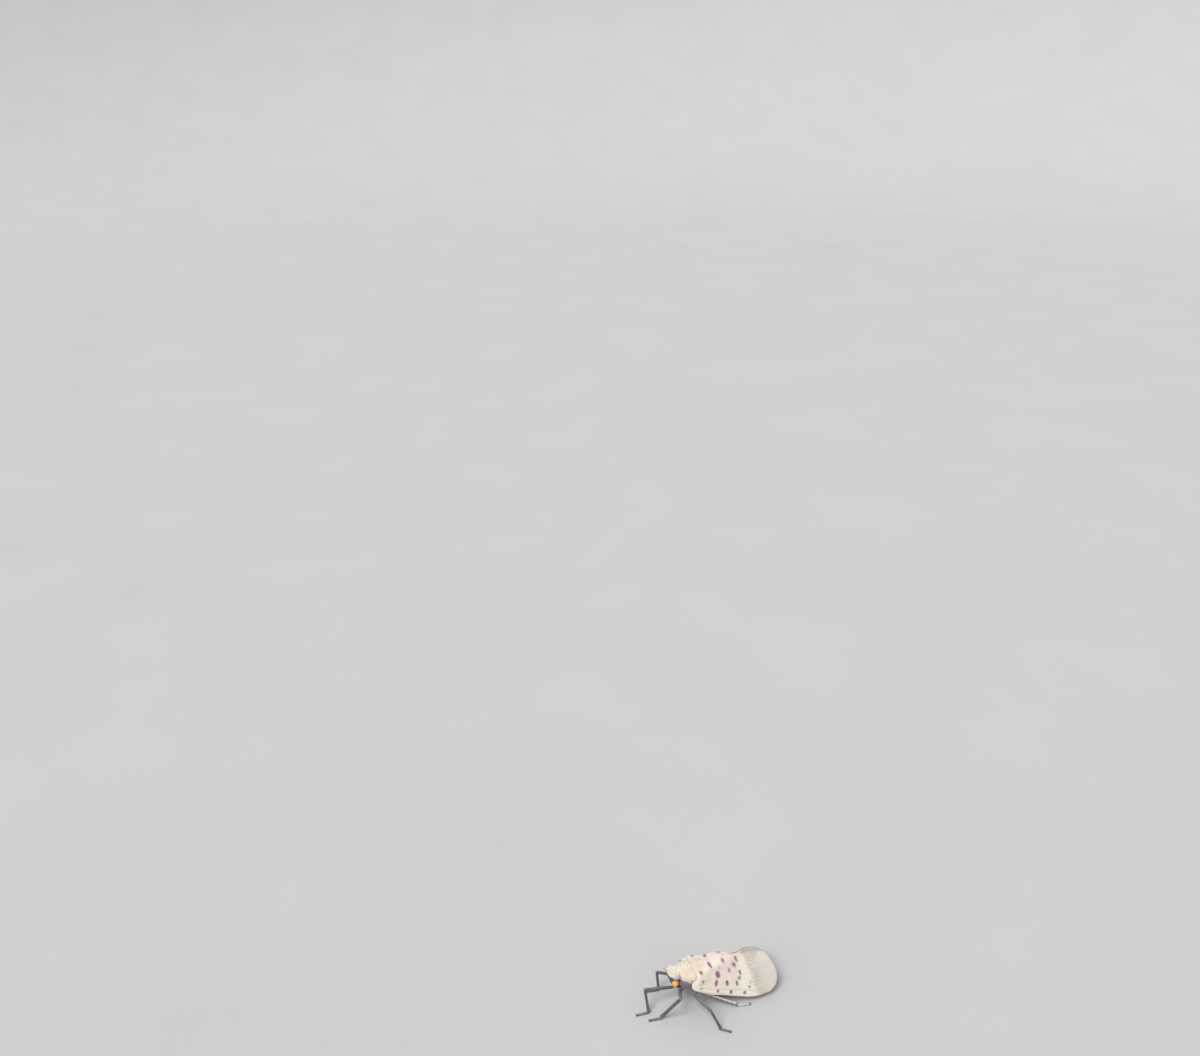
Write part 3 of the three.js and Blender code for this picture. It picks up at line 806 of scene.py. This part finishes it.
def patches(table):
    total = np.zeros(len(skin))
    for over, back, wide, long, strength in table:
        reach = np.hypot((side - over) / wide, (station - back) / long) + 0.15 * wander
        total = np.maximum(total, strength * (1 - smooth(reach, 0.5, 1.2)))
    return total * smooth(height, 0.6, 1.0) * (1 - legs)


# Grooves and plates are moved along the surface's normals
normal = normals_of(skin, quads)
# Painted highlight: the legs' upward faces are painted pale, most of all on the hind legs. The flanks get a
# thin, even pale wax.
hind = ties.relaxed(np.array(["hind" in name for name in names])[part].astype(float), 6)
bloom = smooth(normal[:, 2], lerp(0.1, -0.5, hind), lerp(1.0, 0.5, hind))
bloom = legs * bloom * lerp(0.16, 0.9, hind) + 0.12 * flank
groove = 0.05 * bump(station - 4.3 - 0.5 * (side / 2.9) ** 2, 0.1) * thorax
groove = groove + 0.05 * head * bump(height - LIP_TOP - 0.1 * np.cos(side * 2), 0.06)
for line in (5.9, 7.6):
    slanted = bump(station - line - 0.35 * height, 0.09) * smooth(-0.7 - height, 0, 0.3)
    groove = groove + 0.04 * flank * thorax * slanted
groove = groove + 0.04 * abdomen * bump(in_ring - 0.98, 0.05)
seam = 4 * head * pronotum
# Painted shade: the grooves are darkened in the colour, the deeper the darker, and so is the top of the seam
# between head and pronotum
crease = np.clip(groove * 9 + 0.35 * seam * smooth(height, 0.2, 0.6), 0, 1)
groove = groove + 0.03 * seam
groove = groove + 0.06 * pronotum * bump(np.hypot(side - 0.5, station - 3.1), 0.2)
skin = skin - normal * groove[:, None] + normal * (0.006 * soft_noise(skin, 0.5, 5) * (1 - legs))[:, None]
skin[:, 2] = np.maximum(skin[:, 2], 0)

flesh = [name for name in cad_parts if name.split("_")[0] in ("coxa", "femur", "tibia", "tarsus")]
make_piece(
    "skin",
    (skin, quads),
    CUTICLE,
    ["head", "pronotum", "thorax", "abdomen", "rostrum", *sorted(flesh)],
    dict(dark=dark, flank=flank, belly=abdomen, band=band, bloom=bloom, crease=crease)
    | dict(crown=head * (1 - face), mark=patches(MARKS), blush=patches(BLUSHES)),
)


# Eyes, antennae and tegulae

FACETS = 1500
FACET_RISE = 0.014


def make_pair(name, shape, material):
    """A piece for each side, from the shape at the insect's left in the body's own frame."""
    points, faces, values = shape
    for side_name, sign in (("left", 1), ("right", -1)):
        node = f"{name}_{side_name}"
        shape = to_model(points * np.array((sign, 1, 1))), faces[:, ::sign]
        make_piece(f"fine_{node}", shape, material, [node], values)


def eye_shape():
    """An oval dome of small round facets."""
    points, faces, ball = ellipsoid((0, 0, 0), EYE["size"], 260, 180)
    tree = KDTree(FACETS)
    for n in range(FACETS):
        rise = 1 - (2 * n + 1) / FACETS
        turn = n * np.pi * (3 - math.sqrt(5))
        level = math.sqrt(1 - rise * rise)
        tree.insert((level * math.cos(turn), level * math.sin(turn), rise), n)
    tree.balance()
    away = np.array([tree.find(place)[2] for place in ball.tolist()])
    size = math.sqrt(4 / FACETS)
    dome = 1 - np.clip(away / size, 0, 1) ** 2
    points += ball * (FACET_RISE * (dome - 1))[:, None]
    return points + from_middle(EYE["place"]), faces, dict(rise=ball[:, 2], dome=dome)


def antenna_shape():
    middle = from_middle(PEDICEL["place"])
    points, faces, ball = ellipsoid(middle, PEDICEL["size"], 80, 56)
    points += ball * (0.007 * soft_noise(points, 0.4, 11))[:, None]
    share = np.linspace(0, 1, 16)
    path = middle + np.array(BRISTLE) * (0.3 + 0.7 * share)[:, None]
    path = path + np.outer(np.sin(share * 2.2) * 0.12, (0, -0.3, 0.9))
    bristle = bent_tube(path, 0.05 * bump(share - 0.16, 0.1) + lerp(0.04, 0.01, share))
    bulb = np.concatenate([np.ones(len(points)), np.zeros(len(bristle[0]))])
    return *merged([(points, faces), bristle]), dict(bulb=bulb)


def tegula_shape():
    turn = np.array(Matrix.Rotation(TEGULA["roll"], 3, "Y"))
    points, faces, ball = ellipsoid((0, 0, 0), TEGULA["size"], 96, 64)
    ring, outer = np.hypot(ball[:, 0], ball[:, 1]), ball[:, 2] > 0
    points[:, 2] += ball[:, 2] * (0.02 * bump(ring - 0.92, 0.06) - 0.035 * bump(ring - 0.8, 0.07))
    points[:, 2] += 0.012 * soft_noise(points, 0.5, 12)
    mark = 0.35 * (1 - smooth(np.hypot(ball[:, 0] - 0.2, ball[:, 1] - 0.45) / 0.3, 0.5, 1.1)) * outer
    values = dict.fromkeys(("dark", "flank", "belly", "band", "bloom", "crown"), np.zeros(len(points)))
    # Painted shade in the groove round the tegula's edge
    values.update(crease=0.14 * bump(ring - 0.8, 0.05) * outer, mark=mark, blush=0.25 * (1 - ring))
    return points @ turn.T + from_middle(TEGULA["place"]), faces, values


make_pair("eye", eye_shape(), eye_material())
make_pair("antenna", antenna_shape(), antenna_material())
make_pair("tegula", tegula_shape(), CUTICLE)


# Claws and spines


def tip_values(steps, sides):
    """Shares along the points of a tube, from its root to its tip."""
    return np.concatenate([np.repeat(np.linspace(0, 1, steps), sides), [0, 1]])


def make_horn(name, made):
    """A piece from shapes, each with its shares towards its tip."""
    horn, tips = zip(*made)
    make_piece(name, merged(horn), CLAW_PAINT, values=dict(tip=np.concatenate(tips)))


def claw_shapes(leg):
    """Two hooks and the pad between them."""
    _, _, _, _, heel, toe = leg_points(leg)
    along = direction(toe - heel)
    across = np.array((-along[1], along[0], 0))
    share = np.linspace(0, 1, 14)[:, None]
    rise = 0.02 + 0.07 * np.sin(share * 2.6) - 0.19 * share**2
    middle = toe + along * (0.5 * share - 0.1) + np.array((0, 0, 1)) * rise
    made = []
    for sign in (-1, 1):
        path = middle + across * sign * (0.3 * np.sqrt(share) + 0.02)
        made.append((bent_tube(path, lerp(0.12, 0.015, share[:, 0] ** 0.8)), tip_values(14, 14)))
    pad, faces, _ = ellipsoid(toe + along * 0.2 - np.array((0, 0, 0.04)), (0.16, 0.16, 0.12), 28, 18)
    made.append(((pad, faces), np.full(len(pad), 0.3)))
    for (points, _), _ in made:
        points[:, 2] = np.maximum(points[:, 2], 0)
    return made


SPINE_SHARES = (0.2, 0.36, 0.52, 0.67, 0.82)
CROWN_ANGLES = (-80, -40, 0, 40, 80)
SPINE_LENGTH = 0.55


def spine_shapes(leg):
    """Spines down the outside of a shin, and a crown of them at its end."""
    _, _, knee, ankle, _, _ = leg_points(leg)
    along = direction(ankle - knee)
    outer = np.array((math.copysign(1, LEGS[leg][3][0]), 0, 0))
    outer = direction(outer - along * (outer @ along))
    rows = [(share, outer, 0.5) for share in SPINE_SHARES]
    for angle in CROWN_ANGLES:
        turn = Matrix.Rotation(math.radians(angle), 3, Vector(along))
        rows.append((0.93, np.array(turn @ Vector(outer)), 1.1))
    step = np.linspace(0, 1, 12)[:, None]
    made = []
    for share, outward, lean in rows:
        way = direction(outward + along * lean)
        path = lerp(knee, ankle, share) + way * step * (0.3 + SPINE_LENGTH) + along * 0.07 * step**2
        made.append((bent_tube(path, lerp(0.15, 0.018, step[:, 0] ** 0.75)), tip_values(12, 14)))
    return made


HAIR_RADIUS = 0.011
# Rows of hairs as the leg's points at both ends, radius of the leg, rows and hairs in each
HAIR_ROWS = ((1, 2, 0.32, 5, 24), (2, 3, 0.25, 6, 30), (4, 5, 0.2, 5, 12))
FOOT = 5


def hair_shapes(leg):
    """Short stiff hairs in rows down a leg, leaning towards its foot, and none below the foot."""
    joints = leg_points(leg)
    step = np.linspace(0, 1, 5)[:, None]
    made = []
    for first, last, radius, rows, count in HAIR_ROWS:
        start, end = joints[first], joints[last]
        along, across, upward = limb_axes(start, end)
        for row in range(rows):
            for n in range(count):
                angle = 2 * np.pi * (row + rng.uniform(-0.2, 0.2)) / rows
                outward = across * math.cos(angle) + upward * math.sin(angle)
                if last == FOOT and outward[2] < 0.1:
                    continue
                root = lerp(start, end, (n + rng.uniform(0.1, 0.9)) / count) + outward * radius * 0.7
                length = 0.1 + rng.uniform(0.14, 0.26)
                path = root + (outward * 0.75 + along * 0.5) * length * step + along * 0.05 * step**2
                made.append((bent_tube(path, HAIR_RADIUS * (1.05 - step[:, 0]), 5), tip_values(5, 5)))
    return made


make_horn("claws", [shape for leg in LEGS for shape in claw_shapes(leg)])
make_horn("spines", [shape for leg in ("hind_left", "hind_right") for shape in spine_shapes(leg)])
make_horn("hairs", [shape for leg in LEGS for shape in hair_shapes(leg)])


# Wings


FORE = dict(
    scutellar=Curve([HINGE_INNER, (6.4, 1.0), (8.0, 0.12), (10, 0), (12, 0), CLAVUS_APEX]),
    crest=Curve([CLAVUS_APEX, (15.9, -0.6), (17.4, -0.95), (19.2, -0.75), (20.5, -0.05)]),
    tip=Curve([(20.5, -0.05), (22.3, 1.5), (23.65, 3.7), (24.1, 6), (23.5, 7.8), (22.1, 8.9)]),
    front=Curve([ROOT_FRONT, (4.1, 4.7), (6.7, 5.95), (9.8, 7.15), (14.2, 8.4), (18.4, 9.2), (22.1, 8.9)]),
)
HIND = dict(
    root=((6.5, 2.6), (6.3, 3.6)),
    back=Curve([(6.5, 2.6), (9, 1.6), (12.6, 1.5), (15.6, 2.2), (18.2, 3.2)]),
    tip=Curve([(18.2, 3.2), (19.3, 4.3), (19.2, 5.6), (18, 6.6)]),
    front=Curve([(6.3, 3.6), (8.2, 5.0), (12, 6.2), (15.4, 6.8), (18, 6.6)]),
)


def fold_across(station):
    share = (CLAVUS_APEX[0] - station) / (CLAVUS_APEX[0] - HINGE_FOLD[0])
    return HINGE_FOLD[1] * np.maximum(0, share)


def roof_slope(station, across):
    strip = fold_across(station)
    shallow = lerp(CLAVUS_SLOPE, CLAVUS_REAR_SLOPE, smooth(station, 8, 11))
    steep = lerp(SIDE_SLOPE, HEM_SLOPE, np.clip((across - strip) / 8, 0, 1))
    sloped = steep - REAR_FLARE * smooth(station, 11, 18)
    folded = smooth(across, strip - FOLD_WIDTH / 2, strip + FOLD_WIDTH / 2)
    keel = smooth(station, 12.8, 16) * (1 - smooth(across, 0.2, 1.8))
    return np.where(across < 0, CREST_SLOPE, lerp(lerp(shallow, sloped, folded), KEEL_SLOPE, keel))


def roof(station, across):
    steps = 24
    step = across / steps
    rear = smooth(station, 12.5, 15.5)
    x = lerp(*RIDGE_SIDE, rear)
    z = RIDGE_HEIGHT + RIDGE_RISE * (np.minimum(station, 14.5) - 8 + np.maximum(0, station - 14.5) / 3)
    for n in range(steps):
        slope = roof_slope(station, step * (n + 0.5))
        x = x + np.cos(slope) * step
        z = z - np.sin(slope) * step
    return np.stack([x, station - TOTAL_LENGTH / 2 + 0 * x, z], -1)


def lifted(flat, lift):
    station, across = flat[..., 0], flat[..., 1]
    reach = 0.02
    back = roof(station + reach, across) - roof(station - reach, across)
    down = roof(station, across + reach) - roof(station, across - reach)
    outward = np.cross(down, back)
    outward /= np.linalg.norm(outward, axis=-1, keepdims=True)
    return roof(station, across) + outward * lift[..., None]


def root_rise(station, across):
    along = between(station, 4.7, 5.4, 5.4, 9.2)
    crest = between(station, 6.5, 8.5, 11.5, 15.5) * (1 - smooth(across, 0.6, 3))
    return ROOT_RISE * along * (1 - smooth(across, 3.0, 4.6)) + RIDGE_LIFT * crest


def line(a, b, share):
    return np.array(a) + (np.array(b) - np.array(a)) * np.asarray(share)[..., None]


def patch(back, front, root, tip, u, v):
    u1, v1 = u[..., None], v[..., None]
    mix = back(u) * (1 - v1) + front(u) * v1 + root(v) * (1 - u1) + tip(v) * u1
    zero, one = np.zeros(1), np.ones(1)
    mix = mix - root(zero) * (1 - u1) * (1 - v1) - root(one) * (1 - u1) * v1
    return mix - tip(zero) * u1 * (1 - v1) - tip(one) * u1 * v1


def fore_fold(share):
    before = line(HINGE_FOLD, CLAVUS_APEX, np.clip(share / CLAVUS_PART, 0, 1))
    after = FORE["crest"].along(np.clip((share - CLAVUS_PART) / (1 - CLAVUS_PART), 0, 1))
    return np.where((share < CLAVUS_PART)[..., None], before, after)


def corium(u, v):
    return patch(
        fore_fold, FORE["front"].along, lambda s: line(HINGE_FOLD, ROOT_FRONT, s), FORE["tip"].along, u, v
    )


def clavus(u, v):
    inner = FORE["scutellar"].along(np.clip(u / CLAVUS_PART, 0, 1))
    return inner + (fore_fold(u) - inner) * (1 + v)[..., None]


# Spots of the forewing as (station, distance across, half length back, half length across,
# strength, rosy share, lean)
SPOTS = [
    (8.45, 1.1, 0.41, 0.49, 0.85, 0.75, 0.39),
    (11.45, 1.0, 0.36, 0.36, 0.75, 0.8, 0.05),
    (11.95, 0.3, 0.3, 0.2, 0.2, 0.3, 0.0),
    (14.7, 1.0, 0.41, 0.57, 0.75, 0.65, 0.39),
    (13.95, 1.95, 0.46, 0.63, 0.85, 0.65, 0.36),
    (12.8, 2.9, 0.38, 0.52, 0.65, 0.35, 0.29),
    (10.45, 1.85, 0.3, 0.27, 0.35, 0.3, 0.2),
    (9.9, 3.05, 0.52, 0.8, 0.95, 0.8, 0.13),
    (9.45, 4.65, 0.41, 0.74, 0.9, 0.35, 0.05),
    (15.4, 3.85, 0.37, 0.57, 0.8, 0.1, 0.21),
    (15.05, 4.8, 0.41, 0.47, 0.65, 0.0, 0.26),
    (14.4, 5.75, 0.34, 0.61, 0.8, 0.0, 0.05),
    (12.05, 5.3, 0.38, 0.72, 0.9, 0.1, 0.05),
    (17.6, 6.15, 0.16, 0.47, 0.5, 0.0, 0.07),
    (17.3, 7.1, 0.32, 0.36, 0.75, 0.0, 0.05),
    (9.75, 6.35, 0.34, 0.4, 0.85, 0.2, 0.05),
    (12.9, 7.3, 0.38, 0.4, 0.85, 0.0, 0.05),
    (16.1, 8.0, 0.37, 0.38, 0.8, 0.1, 0.05),
    (19.0, 8.45, 0.2, 0.19, 0.35, 0.0, 0.0),
    (10.2, 0.15, 0.57, 0.13, 0.35, 0.2, 0.0),
    (8.4, 0.35, 0.48, 0.13, 0.4, 0.2, 0.0),
    (6.1, 1.95, 0.44, 0.4, 0.8, 0.4, 0.39),
    (6.25, 3.55, 0.34, 0.42, 0.6, 0.15, 0.05),
    (5.8, 4.85, 0.46, 0.19, 0.65, 0.55, 0.0),
    (7.1, 0.8, 0.52, 0.13, 0.3, 0.3, 0.0),
]

# The fine net begins behind this line, as distances across and stations
NET_LINE = (-0.5, 0, 1.5, 2.85, 4.2, 5.6, 6.9, 8, 9.5), (15.9, 16.1, 16.9, 17.35, 17.7, 18, 18.3, 18.9, 19.8)

# Inner edge of the pale band along the wing's front margin, as stations and distances across
COSTA_LINE = (4.6, 5.55, 6.75, 9.8, 12.7, 16.9, 20.2, 23), (3.7, 4.4, 4.9, 5.95, 6.75, 7.75, 8.45, 9)

# Long veins as shares across the corium: where each starts and ends, and where along it leaves the other
VEINS = [(share, share, 0) for share in (0.2, 0.42, 0.62, 0.82, 0.93)]
FORKS = [(0.2, 0.1, 0.42), (0.42, 0.31, 0.44), (0.62, 0.52, 0.46), (0.82, 0.72, 0.44), (0.82, 0.87, 0.6)]
FORKS += [(0.1, 0.05, 0.62), (0.2, 0.15, 0.6), (0.31, 0.26, 0.62), (0.42, 0.37, 0.64), (0.52, 0.47, 0.62)]
FORKS += [(0.62, 0.57, 0.64), (0.72, 0.67, 0.62), (0.82, 0.77, 0.64)]
VEIN_HEIGHT = 0.045
VEIN_WIDTH = 0.07
WING_THICKNESS = 0.12
EDGE_DROP = 0.09
WING_LENGTH = 19.4
WING_DEPTH = 9.2
CROSS_VEINS = [(0.3, 0.0, 0.2), (0.36, 0.2, 0.42), (0.4, 0.62, 0.82), (0.5, 0.42, 0.62), (0.33, 0.82, 0.93)]


def with_zero(flat):
    return np.pad(flat, ((0, 0), (0, 1)))


def wing_values(flat, u, v):
    """Masks over the forewing from its flat (station, across) and its shares along and across."""
    station, across = flat.T
    wander, fine = (soft_noise(with_zero(flat), size, seed) for size, seed in ((1.1, 21), (0.35, 22)))
    spot, rosy, halo, vein = (np.zeros(len(flat)) for _ in range(4))
    for place, over, long, wide, strength, pink, lean in SPOTS:
        x, y = station - place - lean * (across - over), across - over
        reach = np.hypot(x / long, y / wide) + 0.12 * wander + 0.08 * fine
        mask = strength * (1 - smooth(reach, 0.6, 1.15))
        rosy = np.where(mask > spot, pink, rosy)
        spot = np.maximum(spot, mask)
        halo = np.maximum(halo, 0.55 * pink * strength * (1 - smooth(reach, 0.9, 2.0)))
    behind = station - np.interp(across, *NET_LINE) + 0.08 * wander
    apex = smooth(behind, -0.3, 0.5)
    beyond = across - np.interp(station, *COSTA_LINE) + 0.03 * wander
    width = WING_DEPTH * np.clip(lerp(0.12, 1.0, smooth(u, 0, 0.55)), 0.1, 1)
    for start, end, leaves in VEINS + FORKS:
        course = lerp(start, end, smooth(u, leaves, leaves + 0.14)) if leaves else end
        vein = np.maximum(vein, bump((v - course) * width, VEIN_WIDTH) * (u >= leaves) * (v >= 0))
    vein = np.maximum(vein, bump((v + 0.5) * 2.0, VEIN_WIDTH) * (v < 0))
    for where, low, high in CROSS_VEINS:
        inside = between(v, low - 0.01, low + 0.01, high - 0.01, high + 0.01)
        vein = np.maximum(vein, 0.7 * bump((u - where - 0.1 * (v - low)) * WING_LENGTH, VEIN_WIDTH) * inside)
    ridge = bump(across, 0.12) * smooth(station, 7.5, 8.5) * (station < 15)
    return dict(
        spot=spot,
        rosy=rosy,
        halo=halo,
        apex=apex,
        tip=smooth(behind, 0.8, 4.0),
        before=0.4 * smooth(behind, -3.0, -0.3) * (1 - apex),
        vein=vein * (1 - 0.7 * apex),
        fold=0.7 * np.clip(bump(v * width, 0.09) * (u < CLAVUS_PART) + ridge, 0, 1),
        costal=0.8 * smooth(beyond, -0.15, 0.3) * (1 - apex),
        costa=0.55 * bump(beyond, 0.1) * smooth(station, 5, 7) * (1 - 0.8 * apex),
        yellow=0.7 * bump(beyond + 0.5, 0.5) * (1 - smooth(station, 9, 13)),
        pink=between(station, 6, 9, 13.5, 15.5) * (1 - smooth(across + 0.3 * wander, 5, 7)),
    )


def brick_height(flat):
    """Height of the net's raised lines, as the material draws them."""
    along, across = (flat / NET_CELL).T
    row = np.floor(across)
    shift = along + 0.5 * (row % 2)
    edge = np.minimum(across - row, row + 1 - across) * NET_CELL[1]
    return bump(np.minimum(edge, np.abs(shift - np.round(shift)) * NET_CELL[0]), 0.05)


def quads_of(grid):
    return np.stack([grid[:-1, :-1], grid[1:, :-1], grid[1:, 1:], grid[:-1, 1:]], -1).reshape(-1, 4)


def sheet(over, under, top, loop):
    """A closed thin sheet from its outer and inner points, with its edge along a loop of them."""
    count = len(over)
    following = np.roll(loop, -1)
    edge = np.stack([following, loop, loop + count, following + count], -1)
    return np.vstack([over, under]), np.vstack([top, top[:, ::-1] + count, edge])


def forewing_shape(columns=380, rows=200, strip_rows=44):
    u = np.linspace(0, 1, columns + 1)
    last = int(round(CLAVUS_PART * columns))
    main_u, main_v = grid_of(u, np.linspace(0, 1, rows + 1))
    strip_u, strip_v = grid_of(u[: last + 1], np.linspace(-1, 0, strip_rows + 1)[:-1])
    flat = np.concatenate([corium(main_u, main_v).reshape(-1, 2), clavus(strip_u, strip_v).reshape(-1, 2)])
    station, across = flat.T
    u, v = (np.concatenate([a.ravel(), b.ravel()]) for a, b in ((main_u, strip_u), (main_v, strip_v)))
    main = np.arange(main_u.size).reshape(main_u.shape)
    strip = main_u.size + np.arange(strip_u.size).reshape(strip_u.shape)
    strip = np.concatenate([strip, main[: last + 1, :1]], axis=1)
    strip[-1, :] = main[last, 0]
    # The wing's free edges come together in one loop
    corners = strip[0, :-1], main[0], main[1:, -1], main[-1, -2::-1]
    loop = np.concatenate([*corners, main[last:-1, 0][::-1], strip[1:-1, 0][::-1]])
    inset = edge_distance(flat, flat[loop])
    values = wing_values(flat, u, v)
    brown = between(station, 11.8, 12.8, 14.2, 15.2) * bump(across, 0.2)
    values["rim"] = np.maximum(0.22 * (1 - smooth(inset, 0.0, 0.16)) * (across > 1), 0.6 * brown)
    sway = np.stack([soft_noise(with_zero(flat), 1.5, seed) for seed in (31, 32)], -1)
    weave = np.stack([u * WING_LENGTH, v * WING_DEPTH], -1) + 0.05 * sway
    values["flat"] = with_zero(weave)
    relief = VEIN_HEIGHT * np.maximum(values["vein"], values["fold"])
    relief = (relief + 0.02 * values["apex"] * brick_height(weave)) * smooth(inset, 0, 0.12)
    outer = MEMBRANE / 2 - EDGE_DROP * (1 - smooth(inset, 0, 0.35)) + root_rise(station, across)
    thick = WING_THICKNESS * lerp(0.55, 1.0, smooth(inset, 0, 0.3))
    over, under = lifted(flat, outer + relief), lifted(flat, outer - thick + 0.5 * relief)
    # The wings come together along the ridge, and their tips are pressed together above
    ridge = np.stack([station, 0 * station], -1)
    apart = lifted(ridge, MEMBRANE / 2 - EDGE_DROP + root_rise(station, 0))[:, 0] - np.interp(station, *SEAM)
    shift = apart * (1 - smooth(across, 0, SEAM_REACH)) * smooth(station, 6.8, 8.2)
    pressed = (over[:, 0] - SEAM[1][-1]) * (1 - smooth(across, 0.3, 2.6))
    shift = lerp(shift, pressed, smooth(station, 18.5, 20.5))
    over[:, 0] -= shift
    under[:, 0] -= shift
    values = {key: np.concatenate([value, value]) for key, value in values.items()}
    return *sheet(over, under, np.vstack([quads_of(main), quads_of(strip)]), loop), values


def edge_distance(points, loop):
    """Distances of flat points to the nearest point of a loop."""
    tree = KDTree(len(loop))
    for n, place in enumerate(with_zero(loop).tolist()):
        tree.insert(place, n)
    tree.balance()
    return np.array([tree.find(place)[2] for place in with_zero(points).tolist()])


def hindwing_shape(columns=150, rows=60):
    u, v = grid_of(np.linspace(0, 1, columns + 1), np.linspace(0, 1, rows + 1))
    grid = np.arange(u.size).reshape(u.shape)
    loop = np.concatenate([grid[0], grid[1:, -1], grid[-1, -2::-1], grid[-2:0:-1, 0]])
    back, front, tip = (HIND[edge].along for edge in ("back", "front", "tip"))
    flat = patch(back, front, lambda s: line(*HIND["root"], s), tip, u, v).reshape(-1, 2)
    u, v = u.ravel(), v.ravel()
    wander = soft_noise(with_zero(flat), 1.0, 41)
    vein = np.max([bump((v - course) * 4.5, 0.06) for course in np.linspace(0.06, 0.94, 9)], axis=0)
    lift = 0.04 * vein + 0.1 * np.sin(v * np.pi * 9) * smooth(u, 0.1, 0.5) - MEMBRANE - GAP
    along = u + 0.03 * wander
    black = smooth(along, 0.7, 0.74)
    band = smooth(along, 0.56, 0.6) * (1 - black)
    for at, over_share in ((0.2, 0.4), (0.3, 0.7), (0.38, 0.3), (0.47, 0.6)):
        dot = np.hypot((u - at) * 12, (v - over_share) * 4) + 0.1 * wander
        black = np.maximum(black, 1 - smooth(dot, 0.3, 0.42))
    values = {key: np.tile(value, 2) for key, value in dict(band=band, black=black, vein=vein).items()}
    return *sheet(lifted(flat, lift + 0.05), lifted(flat, lift - 0.05), quads_of(grid), loop), values


make_pair("forewing", forewing_shape(), forewing_material())
make_pair("hindwing", hindwing_shape(), hindwing_material())


# Floor, light and camera


FLOOR_RADIUS = 1.1
FLOOR_CURVE = 0.6


def floor():
    """A flat floor that curves up into a wall all round, in metres."""
    angle = turns(96)
    rings = [(radius, 0.0) for radius in np.geomspace(0.02, FLOOR_RADIUS, 18)]
    for turn in np.linspace(0, 0.5 * np.pi, 14)[1:]:
        rings.append((FLOOR_RADIUS + FLOOR_CURVE * math.sin(turn), FLOOR_CURVE * (1 - math.cos(turn))))
    circle = np.stack([np.cos(angle), np.sin(angle), 0 * angle], -1)
    points = np.vstack([[(0, 0, 0)], *(circle * radius + (0, 0, height) for radius, height in rings)])
    first = np.arange(1, len(angle) + 1)
    middle = np.stack([np.roll(first, -1), first, 0 * first], -1)
    faces = np.vstack([ring_faces(len(rings), len(angle)) + 1, middle])
    mesh = make_mesh("floor", points, faces[:, ::-1])
    paint = Paint("floor", roughness=0.85, specular=0.2)
    color = paint.coats((0.50, 0.50, 0.495), (paint.noise(0.02, 3), (0.54, 0.54, 0.535)))
    mesh.materials.append(paint.finish(color, (paint.noise(0.4, 3), 0.05)))
    add_object("floor", mesh)


floor()
sun = bpy.data.lights.new("sun", "SUN")
sun.angle = SUN_SIZE
sun.energy = SUN_STRENGTH
add_object("sun", sun).rotation_euler = (-Vector(SUN_FROM)).to_track_quat("-Z", "Y").to_euler()
world = bpy.data.worlds.new("studio")
world.use_nodes = True
background = world.node_tree.nodes["Background"].inputs
background["Color"].default_value = (0.98, 0.99, 1.0, 1)
background["Strength"].default_value = STUDIO_GLOW
scene = bpy.context.scene
scene.world = world
scene.view_settings.view_transform = "Standard"

lens = bpy.data.cameras.new("camera")
lens.sensor_width = CAMERA_SENSOR
lens.lens = CAMERA_LENS
lens.clip_start = 0.005
lens.clip_end = 20
camera = add_object("camera", lens)
camera.location = Vector(CAMERA_AT) * MM
camera.rotation_euler = CAMERA_TURN
bpy.context.scene.camera = camera
